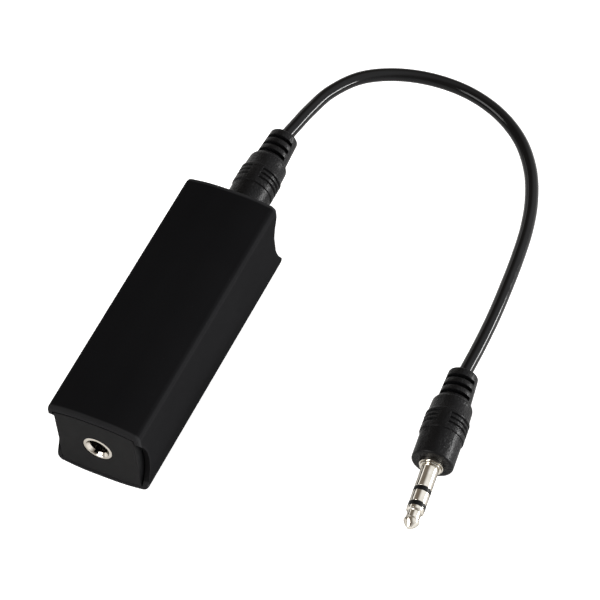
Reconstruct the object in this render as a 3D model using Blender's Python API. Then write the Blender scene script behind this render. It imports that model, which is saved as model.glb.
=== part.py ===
"""Ground loop isolator: a small audio box with a socket at one end and a plugged-in patch lead at the other.

Metres, +Z up. The box lies along Y and stands on Z = 0. Its socket looks along -Y and the lead leaves along +Y.
"""
import math

import bmesh
import bpy
from mathutils import Matrix, Vector

for leftover in list(bpy.data.objects):
    bpy.data.objects.remove(leftover, do_unlink=True)

# Case
BOX_WIDTH = 0.0200
BOX_HEIGHT = 0.0200
BOX_LENGTH = 0.0604
WALL = 0.0011
CROWN = 0.00075
CROWN_FLAT = 0.0020
CORNER_RADIUS = 0.0013
EDGE_ROUND = 0.0004
SCALLOP_RADIUS = 0.0114
SCALLOP_DEPTH = 0.0025
SCALLOP_DROP = 0.0006
SCALLOP_CORNER = 0.0009
CLEARANCE = 0.0003

# End caps
CAP_SETBACK = 0.0002
CAP_DEPTH = 0.0046
CAP_FACE = 0.0017
CAP_SKIRT = 0.0012
CAP_EDGE_ROUND = 0.00025

# Socket
SOCKET_HEIGHT = 0.0100
BUSH_PROUD = 0.00005
BUSH_RADIUS = 0.003125
BUSH_MOUTH_RADIUS = 0.00235
BUSH_COUNTERSINK = 0.0005
BUSH_BORE_RADIUS = 0.00195
BUSH_BARREL_RADIUS = 0.00272
BUSH_BARREL = 0.0030
BUSH_SLOT = 0.0009
BUSH_SLOT_DEPTH = 0.0004
BUSH_SLOT_ANGLE = 20.0
JACK_WIDTH = 0.0096
JACK_TOP = 0.0036
JACK_BOTTOM = 0.0036
JACK_BACK_WALL = 0.0012
SPRING_THICKNESS = 0.0004
SPRING_WIDTH = 0.0016
RING_SPRING_DISTANCE = 0.0070
RING_SPRING_HEIGHT = 0.0024
TIP_SPRING_DISTANCE = 0.0092
TIP_SPRING_LENGTH = 0.0044
LUG_DISTANCE = 0.0038
LEG_BELOW_BOARD = 0.0009

# Circuit board and its rails
BOARD_THICKNESS = 0.0012
BOARD_SIDE_CLEARANCE = 0.0005
RAIL_WIDTH = 0.0013
RAIL_HEIGHT = 0.0009

# Isolation transformers
TRANSFORMER_GAP = 0.0012
TRANSFORMER_END_GAP = 0.0012
CORE_WIDTH = 0.0140
CORE_HEADROOM = 0.00095
CORE_CENTRE_LEG = 0.0040
CORE_OUTER_LEG = 0.0020
CORE_YOKE = 0.0020
BOBBIN_WALL = 0.0006
BOBBIN_OVERHANG = 0.0027
BOBBIN_RAIL_WIDTH = 0.0096
WINDING_INSET = 0.0003
SOLDER_PIN_RADIUS = 0.00035
PIN_ROW_INSET = 0.0012
PIN_PAIR_SPACING = 0.0060
PIN_GRIP = 0.0014

# Plug: stations are distances from the collar's front plane, towards the cord
PIN_LENGTH = 0.0140
PLUG_PIN_RADIUS = 0.00175
STACK_GAP = 0.00015
SLEEVE_CONTACT = 0.00495
INSULATOR = 0.0010
INSULATOR_RADIUS = 0.00178
RING_CONTACT = 0.0025
CORE_ROD_RADIUS = 0.00055
TIP_FLANGE = 0.00065
TIP_NECK_RADIUS = 0.00128
TIP_HEAD_RADIUS = 0.00158
TIP_HEAD_START = 0.0124
TIP_END_RADIUS = 0.0006
COLLAR_FRONT_RADIUS = 0.0022
COLLAR_REAR_RADIUS = 0.00245
COLLAR_STEP = 0.00045
COLLAR_SEAT = 0.0005
TAIL_RADIUS = 0.0016
TAIL_END = 0.0060
MOULDING_FRONT = 0.00115
MOULDING_FRONT_RADIUS = 0.00426
MOULDING_EDGE = 0.00045
BAND_START = 0.0073
BAND_END = 0.0121
BAND_RADIUS = 0.0045
GROOVE_START = 0.00885
GROOVE_PITCH = 0.00105
GROOVE_COUNT = 3
GROOVE_WIDTH = 0.00042
GROOVE_DEPTH = 0.00035
GROOVE_GAP_ANGLE = 24.0
SHOULDER_START = 0.0145
SHOULDER_END = 0.0156
SHOULDER_RADIUS = 0.00415
RELIEF_START_RADIUS = 0.0034
RELIEF_END_RADIUS = 0.00305
RELIEF_END = 0.0226
RELIEF_EDGE = 0.0004
RELIEF_SLOT_START = 0.01615
RELIEF_SLOT_PITCH = 0.00195
RELIEF_SLOT_COUNT = 3
RELIEF_SLOT_WIDTH = 0.00075
RELIEF_SLOT_ANGLE = 60.0
RELIEF_CORE_RADIUS = 0.0019
PLUG_SEAT_GAP = 0.00015

# Lead
CORD_RADIUS = 0.0014
FREE_PLUG_X = 0.05928
FREE_PLUG_Y = -0.00583
FREE_PLUG_LIFT = 0.00001
FREE_PLUG_TURN = 7.6
CORD_SPACING = 0.0058

# Facets: a full turn of each round form
MOULDING_STEPS = 30
TURN_STEPS = 32
SMALL_TURN_STEPS = 24

HALF_LENGTH = BOX_LENGTH / 2
CAP_FACE_Y = HALF_LENGTH - CAP_SETBACK
CAP_INNER_Y = CAP_FACE_Y - CAP_DEPTH
BUSH_FACE_Y = CAP_FACE_Y + BUSH_PROUD
BOARD_TOP = SOCKET_HEIGHT - JACK_BOTTOM - CLEARANCE
BOARD_BOTTOM = BOARD_TOP - BOARD_THICKNESS
LEG_END_Z = BOARD_BOTTOM - LEG_BELOW_BOARD

# Stations inside a socket, counted from the bush's face inwards
BUSH_SHOULDER = CAP_FACE + CLEARANCE + BUSH_PROUD
BUSH_END = BUSH_SHOULDER + BUSH_BARREL
JACK_FRONT = BUSH_SHOULDER + CLEARANCE
BORE_END = PIN_LENGTH + 2 * CLEARANCE
JACK_BACK = BORE_END + JACK_BACK_WALL
SPRING_INNER = PLUG_PIN_RADIUS + CLEARANCE
LEG_INNER_X = JACK_WIDTH / 2 + CLEARANCE
LEG_OUTER_X = LEG_INNER_X + SPRING_THICKNESS

# The transformers share the room between the two sockets' rear legs, under the case's top
TRANSFORMER_ROOM = BUSH_FACE_Y - JACK_BACK - CLEARANCE - SPRING_THICKNESS
BOBBIN_REACH = (TRANSFORMER_ROOM - TRANSFORMER_END_GAP - TRANSFORMER_GAP / 2) / 2
TRANSFORMER_Y = TRANSFORMER_GAP / 2 + BOBBIN_REACH
CORE_STACK = 2 * (BOBBIN_REACH - BOBBIN_OVERHANG)
CORE_HEIGHT = BOX_HEIGHT - WALL - CROWN - CORE_HEADROOM - BOARD_TOP - CLEARANCE
PIN_ROW_SPACING = 2 * (BOBBIN_REACH - PIN_ROW_INSET)


# Materials
def plastic_or_metal(name, colour, roughness, metallic=0.0):
    """Makes a material with one Principled shader."""
    material = bpy.data.materials.new(name)
    material.use_nodes = True
    shader = material.node_tree.nodes["Principled BSDF"]
    shader.inputs["Base Color"].default_value = (*colour, 1.0)
    shader.inputs["Roughness"].default_value = roughness
    shader.inputs["Metallic"].default_value = metallic
    material.diffuse_color = (*colour, 1.0)
    return material


CASE_PLASTIC = plastic_or_metal("black_case_plastic", (0.016, 0.016, 0.017), 0.48)
CAP_PLASTIC = plastic_or_metal("black_cap_plastic", (0.024, 0.024, 0.025), 0.55)
JACK_PLASTIC = plastic_or_metal("black_jack_plastic", (0.012, 0.012, 0.013), 0.45)
NICKEL = plastic_or_metal("nickel_plate", (0.78, 0.76, 0.71), 0.16, 1.0)
SPRING_METAL = plastic_or_metal("tinned_bronze", (0.72, 0.66, 0.55), 0.3, 1.0)
BOARD_LAMINATE = plastic_or_metal("board_laminate", (0.03, 0.16, 0.06), 0.4)
CORE_STEEL = plastic_or_metal("laminated_steel", (0.34, 0.34, 0.35), 0.4, 1.0)
BOBBIN_PLASTIC = plastic_or_metal("bobbin_plastic", (0.05, 0.05, 0.05), 0.5)
COPPER = plastic_or_metal("enamelled_copper", (0.72, 0.3, 0.13), 0.3, 1.0)
PIN_METAL = plastic_or_metal("tinned_pin", (0.7, 0.7, 0.68), 0.25, 1.0)
MOULDING_PVC = plastic_or_metal("moulded_pvc", (0.02, 0.02, 0.021), 0.38)
INSULATOR_PLASTIC = plastic_or_metal("black_insulator", (0.01, 0.01, 0.01), 0.4)
CORD_PVC = plastic_or_metal("cord_pvc", (0.018, 0.018, 0.019), 0.25)


# Helpers
def new_object(name, mesh, material=None, parent=None):
    """Links an object for a mesh, with its material and parent."""
    piece = bpy.data.objects.new(name, mesh)
    bpy.context.scene.collection.objects.link(piece)
    if material is not None and not mesh.materials:
        mesh.materials.append(material)
    piece.parent = parent
    return piece


def mesh_from(name, shape, smooth_angle=None):
    """Turns a bmesh into a mesh with its faces pointing out."""
    bmesh.ops.recalc_face_normals(shape, faces=shape.faces)
    mesh = bpy.data.meshes.new(name)
    shape.to_mesh(mesh)
    shape.free()
    if smooth_angle is not None:
        mesh.shade_smooth()
        mesh.set_sharp_from_angle(angle=math.radians(smooth_angle))
    return mesh


def add_block(shape, x0, x1, y0, y1, z0, z1):
    """Adds a closed box between two corners."""
    size = Matrix.Diagonal((x1 - x0, y1 - y0, z1 - z0, 1.0))
    place = Matrix.Translation(((x0 + x1) / 2, (y0 + y1) / 2, (z0 + z1) / 2))
    bmesh.ops.create_cube(shape, size=1.0, matrix=place @ size)


def add_turned(shape, profile, steps, start_angle=0.0, sweep=360.0):
    """Turns a closed profile of (station, radius) points about the Y axis; an arc gets flat ends.

    Angles are measured from +Z towards +X.
    """
    angle = math.radians(start_angle)
    ring = [shape.verts.new((radius * math.sin(angle), station, radius * math.cos(angle)))
            for station, radius in profile]
    full = abs(sweep - 360.0) < 1e-6
    pairs = list(zip(ring, ring[1:] + ring[:1]))
    if full:
        on_axis = {vert for vert, (station, radius) in zip(ring, profile) if radius < 1e-9}
        edges = [shape.edges.new(pair) for pair in pairs if not (pair[0] in on_axis and pair[1] in on_axis)]
        bmesh.ops.spin(shape, geom=ring + edges, cent=(0, 0, 0), axis=(0, 1, 0),
                       angle=math.radians(360.0), steps=steps, use_merge=False)
        bmesh.ops.remove_doubles(shape, verts=shape.verts, dist=1e-7)
        loose = [edge for edge in shape.edges if not edge.link_faces]
        bmesh.ops.delete(shape, geom=loose, context="EDGES")
    else:
        face = shape.faces.new(ring)
        bmesh.ops.spin(shape, geom=[face], cent=(0, 0, 0), axis=(0, 1, 0),
                       angle=math.radians(sweep), steps=steps, use_duplicate=False)


def add_cylinder(shape, x, y, z0, z1, radius, steps=12):
    """Adds an upright closed cylinder."""
    place = Matrix.Translation((x, y, (z0 + z1) / 2))
    bmesh.ops.create_cone(shape, cap_ends=True, segments=steps, radius1=radius, radius2=radius,
                          depth=z1 - z0, matrix=place)


def add_strip(shape, outline, axis, low, high):
    """Extrudes a closed outline along X or Y; the outline holds the other two coordinates."""
    if axis == "X":
        corners = [shape.verts.new((low, a, b)) for a, b in outline]
        shift = Vector((high - low, 0, 0))
    else:
        corners = [shape.verts.new((a, low, b)) for a, b in outline]
        shift = Vector((0, high - low, 0))
    face = shape.faces.new(corners)
    grown = bmesh.ops.extrude_face_region(shape, geom=[face], use_keep_orig=True)
    moved = [item for item in grown["geom"] if isinstance(item, bmesh.types.BMVert)]
    bmesh.ops.translate(shape, vec=shift, verts=moved)


def cutter(name, shape):
    """Keeps a shape as a hidden guide for Boolean modifiers."""
    guide = new_object(name, mesh_from(name, shape))
    guide.hide_render = True
    guide.display_type = "WIRE"
    return guide


def boolean(piece, guide, operation="DIFFERENCE"):
    """Adds an exact Boolean modifier."""
    change = piece.modifiers.new(guide.name, "BOOLEAN")
    change.operation = operation
    change.solver = "EXACT"
    change.object = guide
    return change


def case_outline(inset=0.0):
    """The case's section, as (x, z) points: rounded corners between a crowned top and bottom."""
    radius = max(CORNER_RADIUS - inset, 0.0002)
    half_x = BOX_WIDTH / 2 - inset - radius
    half_z = BOX_HEIGHT / 2 - inset - radius - CROWN
    flat = min(CROWN_FLAT, half_x * 0.5)
    right = [half_x - (half_x - flat) * k / 4 for k in range(1, 5)]
    crown = [(x, CROWN * (1 - ((abs(x) - flat) / (half_x - flat)) ** 2)) for x in right + [-x for x in reversed(right)]]
    arc = [math.radians(18 * k) for k in range(6)]
    points = [(half_x + radius * math.cos(a), half_z + radius * math.sin(a)) for a in arc]
    points += [(x, half_z + radius + rise) for x, rise in crown]
    points += [(-half_x - radius * math.sin(a), half_z + radius * math.cos(a)) for a in arc]
    points += [(-x, -z) for x, z in points]
    return [(x, z + BOX_HEIGHT / 2) for x, z in points]


def add_prism(shape, sections, outline=case_outline):
    """Lofts an outline through (y, inset) sections and closes both ends."""
    rings = [[shape.verts.new((x, y, z)) for x, z in outline(inset)] for y, inset in sections]
    count = len(rings[0])
    for near, far in zip(rings, rings[1:]):
        for k in range(count):
            after = (k + 1) % count
            shape.faces.new((near[k], near[after], far[after], far[k]))
    shape.faces.new(rings[0])
    shape.faces.new(list(reversed(rings[-1])))


def rounded_edge(y, inset, radius, inward, steps=3):
    """Sections of a rounded end edge, from the end's plane inwards; inward is +1 or -1 along Y."""
    angles = [math.radians(90 * k / steps) for k in range(steps + 1)]
    return [(y + inward * radius * (1 - math.cos(a)), inset + radius * (1 - math.sin(a))) for a in angles]


def group(name, location, turn=0.0):
    """An empty that carries one socket, transformer or plug."""
    empty = bpy.data.objects.new(name, None)
    bpy.context.scene.collection.objects.link(empty)
    empty.location = location
    empty.rotation_euler = (0, 0, math.radians(turn))
    return empty


def scallop_outline(end):
    """One end's scallop as (y, z) points: a shallow arc that runs out into the end through a rounded corner."""
    depth_centre = SCALLOP_RADIUS - SCALLOP_DEPTH
    corner_in = depth_centre + SCALLOP_CORNER
    corner_up = math.sqrt((SCALLOP_RADIUS + SCALLOP_CORNER) ** 2 - corner_in ** 2)
    meeting = math.atan2(corner_up, corner_in)
    points = [(depth_centre - WALL, corner_up)]
    for k in range(4):
        a = math.pi + meeting * k / 3
        points.append((corner_in + SCALLOP_CORNER * math.cos(a), corner_up + SCALLOP_CORNER * math.sin(a)))
    for k in range(1, 12):
        a = meeting * (1 - k / 12)
        points.append((SCALLOP_RADIUS * math.cos(a), SCALLOP_RADIUS * math.sin(a)))
    points += [(SCALLOP_RADIUS, 0.0)] + [(inward, -up) for inward, up in reversed(points)]
    centre_y = HALF_LENGTH + depth_centre
    centre_z = BOX_HEIGHT / 2 - SCALLOP_DROP
    return [(end * (centre_y - inward), centre_z + up) for inward, up in points]


# Case
def build_sleeve():
    """The square tube, with rails for the board and an arc out of both side walls at each end."""
    shape = bmesh.new()
    ends = rounded_edge(-HALF_LENGTH, 0.0, EDGE_ROUND, 1) + rounded_edge(HALF_LENGTH, 0.0, EDGE_ROUND, -1)[::-1]
    add_prism(shape, ends)
    sleeve = new_object("sleeve", mesh_from("sleeve", shape, 30), CASE_PLASTIC)

    bore = bmesh.new()
    add_prism(bore, [(-HALF_LENGTH - WALL, WALL), (HALF_LENGTH + WALL, WALL)])
    boolean(sleeve, cutter("sleeve_bore_cut", bore))

    rails = bmesh.new()
    wall_x = BOX_WIDTH / 2 - WALL
    top = BOARD_BOTTOM - CLEARANCE
    reach = CAP_INNER_Y - CLEARANCE
    for side in (-1, 1):
        x0, x1 = sorted((side * (wall_x - RAIL_WIDTH), side * (wall_x + WALL / 2)))
        add_block(rails, x0, x1, -reach, reach, top - RAIL_HEIGHT, top)
    boolean(sleeve, cutter("sleeve_rails_join", rails), "UNION")

    scallops = bmesh.new()
    for end in (-1, 1):
        add_strip(scallops, scallop_outline(end), "X", -BOX_WIDTH, BOX_WIDTH)
    boolean(sleeve, cutter("sleeve_scallop_cut", scallops))


def build_cap(name, end):
    """A flat-faced insert with a skirt behind its face and the socket's hole; end is -1 or +1."""
    inset = WALL + CLEARANCE
    shape = bmesh.new()
    add_prism(shape, rounded_edge(end * CAP_FACE_Y, inset, CAP_EDGE_ROUND, -end) + [(end * CAP_INNER_Y, inset)])
    cap = new_object(name, mesh_from(name, shape, 30), CAP_PLASTIC)

    pocket = bmesh.new()
    inner = inset + CAP_SKIRT
    add_prism(pocket, [(end * (CAP_FACE_Y - CAP_FACE), inner), (end * (CAP_INNER_Y - CAP_SKIRT), inner)])
    boolean(cap, cutter(name + "_pocket_cut", pocket))

    leg = bmesh.new()
    x0, x1 = sorted((end * (LEG_INNER_X - CLEARANCE), end * (LEG_OUTER_X + CLEARANCE)))
    y, half = end * (BUSH_FACE_Y - LUG_DISTANCE), SPRING_WIDTH / 2 + CLEARANCE
    add_block(leg, x0, x1, y - half, y + half, LEG_END_Z - CLEARANCE, BOARD_BOTTOM)
    boolean(cap, cutter(name + "_leg_cut", leg))

    hole = bmesh.new()
    place = Matrix.Translation((0, end * CAP_FACE_Y, SOCKET_HEIGHT)) @ Matrix.Rotation(math.radians(90), 4, "X")
    bmesh.ops.create_cone(hole, cap_ends=True, segments=TURN_STEPS, radius1=BUSH_RADIUS + CLEARANCE,
                          radius2=BUSH_RADIUS + CLEARANCE, depth=4 * CAP_FACE, matrix=place)
    boolean(cap, cutter(name + "_hole_cut", hole))


# Sockets
def bush_mesh():
    """The nickel ring with its countersink and the barrel behind it."""
    shape = bmesh.new()
    add_turned(shape, [(0.0, BUSH_MOUTH_RADIUS), (0.0, BUSH_RADIUS - CAP_EDGE_ROUND / 2),
                       (CAP_EDGE_ROUND / 2, BUSH_RADIUS), (BUSH_SHOULDER, BUSH_RADIUS),
                       (BUSH_SHOULDER, BUSH_BARREL_RADIUS), (BUSH_END, BUSH_BARREL_RADIUS),
                       (BUSH_END, BUSH_BORE_RADIUS), (BUSH_COUNTERSINK, BUSH_BORE_RADIUS)], TURN_STEPS)
    return mesh_from("jack_bush", shape, 25)


def bush_slot_cutter(name, parent):
    """The keyway along the bottom of the bush's bore."""
    shape = bmesh.new()
    add_block(shape, -BUSH_SLOT / 2, BUSH_SLOT / 2, -CLEARANCE, BUSH_END + CLEARANCE,
              -BUSH_BORE_RADIUS - BUSH_SLOT_DEPTH, -BUSH_BORE_RADIUS / 2)
    bmesh.ops.rotate(shape, cent=(0, 0, 0), matrix=Matrix.Rotation(math.radians(BUSH_SLOT_ANGLE), 3, "Y"),
                     verts=shape.verts)
    guide = cutter(name, shape)
    guide.parent = parent
    return guide


def build_jack(name, end):
    """One socket: bush, moulded body, two springs and a ground lug; end is -1 or +1."""
    jack = group(name, (0, end * BUSH_FACE_Y, SOCKET_HEIGHT), 0.0 if end < 0 else 180.0)
    down = LEG_END_Z - SOCKET_HEIGHT
    bottom = BOARD_TOP + CLEARANCE - SOCKET_HEIGHT
    half = SPRING_WIDTH / 2
    thick = SPRING_THICKNESS

    bush = new_object(name + "_bush", bush_mesh(), NICKEL, jack)
    boolean(bush, bush_slot_cutter(name + "_keyway_cut", jack))

    shape = bmesh.new()
    add_block(shape, -JACK_WIDTH / 2, JACK_WIDTH / 2, JACK_FRONT, JACK_BACK, bottom, JACK_TOP)
    housing = new_object(name + "_housing", mesh_from(name + "_housing", shape), JACK_PLASTIC, jack)
    bore = bmesh.new()
    add_turned(bore, [(JACK_FRONT - CLEARANCE, 0.0), (JACK_FRONT - CLEARANCE, BUSH_BARREL_RADIUS + CLEARANCE),
                      (BUSH_END + CLEARANCE, BUSH_BARREL_RADIUS + CLEARANCE), (BUSH_END + CLEARANCE, BUSH_BORE_RADIUS),
                      (BORE_END, BUSH_BORE_RADIUS), (BORE_END, 0.0)], SMALL_TURN_STEPS)
    windows = bmesh.new()
    spring_end = TIP_SPRING_DISTANCE + TIP_SPRING_LENGTH
    add_block(windows, -half - CLEARANCE, half + CLEARANCE, TIP_SPRING_DISTANCE - CLEARANCE, spring_end + CLEARANCE,
              SPRING_INNER - 2 * CLEARANCE, JACK_TOP + CLEARANCE)
    add_block(windows, SPRING_INNER - 2 * CLEARANCE, LEG_INNER_X, RING_SPRING_DISTANCE - half - CLEARANCE,
              RING_SPRING_DISTANCE + half + CLEARANCE, -RING_SPRING_HEIGHT / 2 - CLEARANCE,
              RING_SPRING_HEIGHT / 2 + CLEARANCE)
    add_block(windows, -LEG_INNER_X, -BUSH_BARREL_RADIUS, LUG_DISTANCE - half - CLEARANCE,
              LUG_DISTANCE + half + CLEARANCE, -thick / 2 - CLEARANCE, thick / 2 + CLEARANCE)
    for guide in (cutter(name + "_bore_cut", bore), cutter(name + "_window_cut", windows)):
        guide.parent = jack
        boolean(housing, guide)

    over = JACK_TOP + CLEARANCE
    behind = JACK_BACK + CLEARANCE
    tip = bmesh.new()
    add_strip(tip, [(TIP_SPRING_DISTANCE, SPRING_INNER), (spring_end, SPRING_INNER), (spring_end, over),
                    (behind, over), (behind, down), (behind + thick, down), (behind + thick, over + thick),
                    (spring_end - thick, over + thick), (spring_end - thick, SPRING_INNER + thick),
                    (TIP_SPRING_DISTANCE, SPRING_INNER + thick)], "X", -half, half)
    new_object(name + "_tip_contact", mesh_from(name + "_tip_contact", tip), SPRING_METAL, jack)

    ring = bmesh.new()
    rise = RING_SPRING_HEIGHT / 2
    add_strip(ring, [(SPRING_INNER, -rise), (SPRING_INNER + thick, -rise), (SPRING_INNER + thick, rise - thick),
                     (LEG_INNER_X, rise - thick), (LEG_INNER_X, down), (LEG_OUTER_X, down), (LEG_OUTER_X, rise),
                     (SPRING_INNER, rise)], "Y", RING_SPRING_DISTANCE - half, RING_SPRING_DISTANCE + half)
    new_object(name + "_ring_contact", mesh_from(name + "_ring_contact", ring), SPRING_METAL, jack)

    lug = bmesh.new()
    seat = BUSH_BARREL_RADIUS + CLEARANCE
    add_strip(lug, [(-seat, -thick / 2), (-seat, thick / 2), (-LEG_OUTER_X, thick / 2), (-LEG_OUTER_X, down),
                    (-LEG_INNER_X, down), (-LEG_INNER_X, -thick / 2)], "Y", LUG_DISTANCE - half, LUG_DISTANCE + half)
    new_object(name + "_ground_lug", mesh_from(name + "_ground_lug", lug), SPRING_METAL, jack)


# Circuit board
def pin_places():
    """The four solder pins of a transformer, about its own centre."""
    return [(x * PIN_PAIR_SPACING / 2, y * PIN_ROW_SPACING / 2) for x in (-1, 1) for y in (-1, 1)]


def build_board():
    """The board on the sleeve's rails, with tongues into the caps' pockets and a hole for each leg and pin."""
    half_x = BOX_WIDTH / 2 - WALL - BOARD_SIDE_CLEARANCE
    tongue_x = BOX_WIDTH / 2 - WALL - 2 * CLEARANCE - CAP_SKIRT
    body_y = CAP_INNER_Y - CLEARANCE
    tongue_y = CAP_FACE_Y - CAP_FACE - CLEARANCE
    quarter = [(half_x, body_y), (tongue_x, body_y), (tongue_x, tongue_y)]
    outline = quarter + [(-x, y) for x, y in reversed(quarter)]
    outline += [(-x, -y) for x, y in outline]
    shape = bmesh.new()
    low = [shape.verts.new((x, y, BOARD_BOTTOM)) for x, y in outline]
    grown = bmesh.ops.extrude_face_region(shape, geom=[shape.faces.new(low)], use_keep_orig=True)
    raised = [item for item in grown["geom"] if isinstance(item, bmesh.types.BMVert)]
    bmesh.ops.translate(shape, vec=(0, 0, BOARD_THICKNESS), verts=raised)
    board = new_object("circuit_board", mesh_from("circuit_board", shape), BOARD_LAMINATE)

    holes = bmesh.new()
    z0, z1 = BOARD_BOTTOM - BOARD_THICKNESS, BOARD_TOP + BOARD_THICKNESS
    half = SPRING_WIDTH / 2 + CLEARANCE
    x0, x1 = LEG_INNER_X - CLEARANCE, LEG_OUTER_X + CLEARANCE
    for end in (-1, 1):
        for side, station in ((1, RING_SPRING_DISTANCE), (-1, LUG_DISTANCE)):
            low_x, high_x = sorted((-end * side * x0, -end * side * x1))
            y = end * (BUSH_FACE_Y - station)
            add_block(holes, low_x, high_x, y - half, y + half, z0, z1)
        y = sorted((end * (BUSH_FACE_Y - JACK_BACK), end * (BUSH_FACE_Y - JACK_BACK - SPRING_THICKNESS - 2 * CLEARANCE)))
        add_block(holes, -half, half, y[0], y[1], z0, z1)
        for x, y in pin_places():
            add_cylinder(holes, x, end * TRANSFORMER_Y + y, z0, z1, SOLDER_PIN_RADIUS + CLEARANCE)
    boolean(board, cutter("board_hole_cut", holes))


# Isolation transformers
def rounded_rectangle(half_x, half_y, radius, steps=4):
    """Corner points of a rectangle with round corners."""
    points = []
    for quarter, (sx, sy) in enumerate(((1, 1), (-1, 1), (-1, -1), (1, -1))):
        for k in range(steps + 1):
            a = math.radians(90 * quarter + 90 * k / steps)
            points.append((sx * (half_x - radius) + radius * math.cos(a), sy * (half_y - radius) + radius * math.sin(a)))
    return points


def add_upright(shape, outline, z0, z1):
    """Extrudes an (x, y) outline upwards."""
    low = [shape.verts.new((x, y, z0)) for x, y in outline]
    grown = bmesh.ops.extrude_face_region(shape, geom=[shape.faces.new(low)], use_keep_orig=True)
    raised = [item for item in grown["geom"] if isinstance(item, bmesh.types.BMVert)]
    bmesh.ops.translate(shape, vec=(0, 0, z1 - z0), verts=raised)


def build_transformer(name, y):
    """One transformer: a laminated core, a bobbin round its centre leg, the winding and four pins."""
    base = group(name, (0, y, BOARD_TOP + CLEARANCE))
    leg_x = CORE_CENTRE_LEG / 2
    window_x = CORE_WIDTH / 2 - CORE_OUTER_LEG
    stack_y = CORE_STACK / 2
    window_top = CORE_HEIGHT - CORE_YOKE

    shape = bmesh.new()
    add_block(shape, -CORE_WIDTH / 2, CORE_WIDTH / 2, -stack_y, stack_y, 0, CORE_HEIGHT)
    core = new_object(name + "_core", mesh_from(name + "_core", shape), CORE_STEEL, base)
    windows = bmesh.new()
    for side in (-1, 1):
        x0, x1 = sorted((side * leg_x, side * window_x))
        add_block(windows, x0, x1, -CORE_STACK, CORE_STACK, CORE_YOKE, window_top)
    guide = cutter(name + "_window_cut", windows)
    guide.parent = base
    boolean(core, guide)

    low, high = CORE_YOKE + CLEARANCE, window_top - CLEARANCE
    flange_x = window_x - CLEARANCE
    tube_x, tube_y = leg_x + CLEARANCE + BOBBIN_WALL, stack_y + CLEARANCE + BOBBIN_WALL
    overlap = BOBBIN_WALL / 2
    shape = bmesh.new()
    add_block(shape, -flange_x, flange_x, -BOBBIN_REACH, BOBBIN_REACH, low, low + BOBBIN_WALL)
    bobbin = new_object(name + "_bobbin", mesh_from(name + "_bobbin", shape), BOBBIN_PLASTIC, base)
    tube = bmesh.new()
    add_block(tube, -tube_x, tube_x, -tube_y, tube_y, low + overlap, high - overlap)
    flange = bmesh.new()
    add_block(flange, -flange_x, flange_x, -BOBBIN_REACH, BOBBIN_REACH, high - BOBBIN_WALL, high)
    feet = bmesh.new()
    for side in (-1, 1):
        y0, y1 = sorted((side * (stack_y + CLEARANCE), side * (BOBBIN_REACH - overlap)))
        add_block(feet, -BOBBIN_RAIL_WIDTH / 2, BOBBIN_RAIL_WIDTH / 2, y0, y1, 0, low + overlap)
    hole = bmesh.new()
    add_block(hole, -leg_x - CLEARANCE, leg_x + CLEARANCE, -stack_y - CLEARANCE, stack_y + CLEARANCE,
              low - BOBBIN_WALL, high + BOBBIN_WALL)
    pin_holes = bmesh.new()
    for px, py in pin_places():
        add_cylinder(pin_holes, px, py, -PIN_GRIP, PIN_GRIP + CLEARANCE, SOLDER_PIN_RADIUS + CLEARANCE)
    for label, form, operation in (("tube_join", tube, "UNION"), ("flange_join", flange, "UNION"),
                                   ("feet_join", feet, "UNION"), ("leg_cut", hole, "DIFFERENCE"),
                                   ("pin_cut", pin_holes, "DIFFERENCE")):
        guide = cutter(name + "_" + label, form)
        guide.parent = base
        boolean(bobbin, guide, operation)

    coil_low, coil_high = low + BOBBIN_WALL + CLEARANCE, high - BOBBIN_WALL - CLEARANCE
    shape = bmesh.new()
    outer = rounded_rectangle(flange_x - WINDING_INSET, BOBBIN_REACH - WINDING_INSET, flange_x - tube_x - WINDING_INSET)
    add_upright(shape, outer, coil_low, coil_high)
    winding = new_object(name + "_winding", mesh_from(name + "_winding", shape, 40), COPPER, base)
    inside = bmesh.new()
    add_block(inside, -tube_x - CLEARANCE, tube_x + CLEARANCE, -tube_y - CLEARANCE, tube_y + CLEARANCE,
              coil_low - CLEARANCE, coil_high + CLEARANCE)
    guide = cutter(name + "_tube_cut", inside)
    guide.parent = base
    boolean(winding, guide)

    pin = bmesh.new()
    add_cylinder(pin, 0, 0, LEG_END_Z - BOARD_TOP - CLEARANCE, PIN_GRIP, SOLDER_PIN_RADIUS)
    pin_mesh = mesh_from(name + "_pin", pin, 40)
    for number, (px, py) in enumerate(pin_places(), 1):
        solder_pin = new_object(f"{name}_pin_{number}", pin_mesh, PIN_METAL, base)
        solder_pin.location = (px, py, 0)


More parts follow.
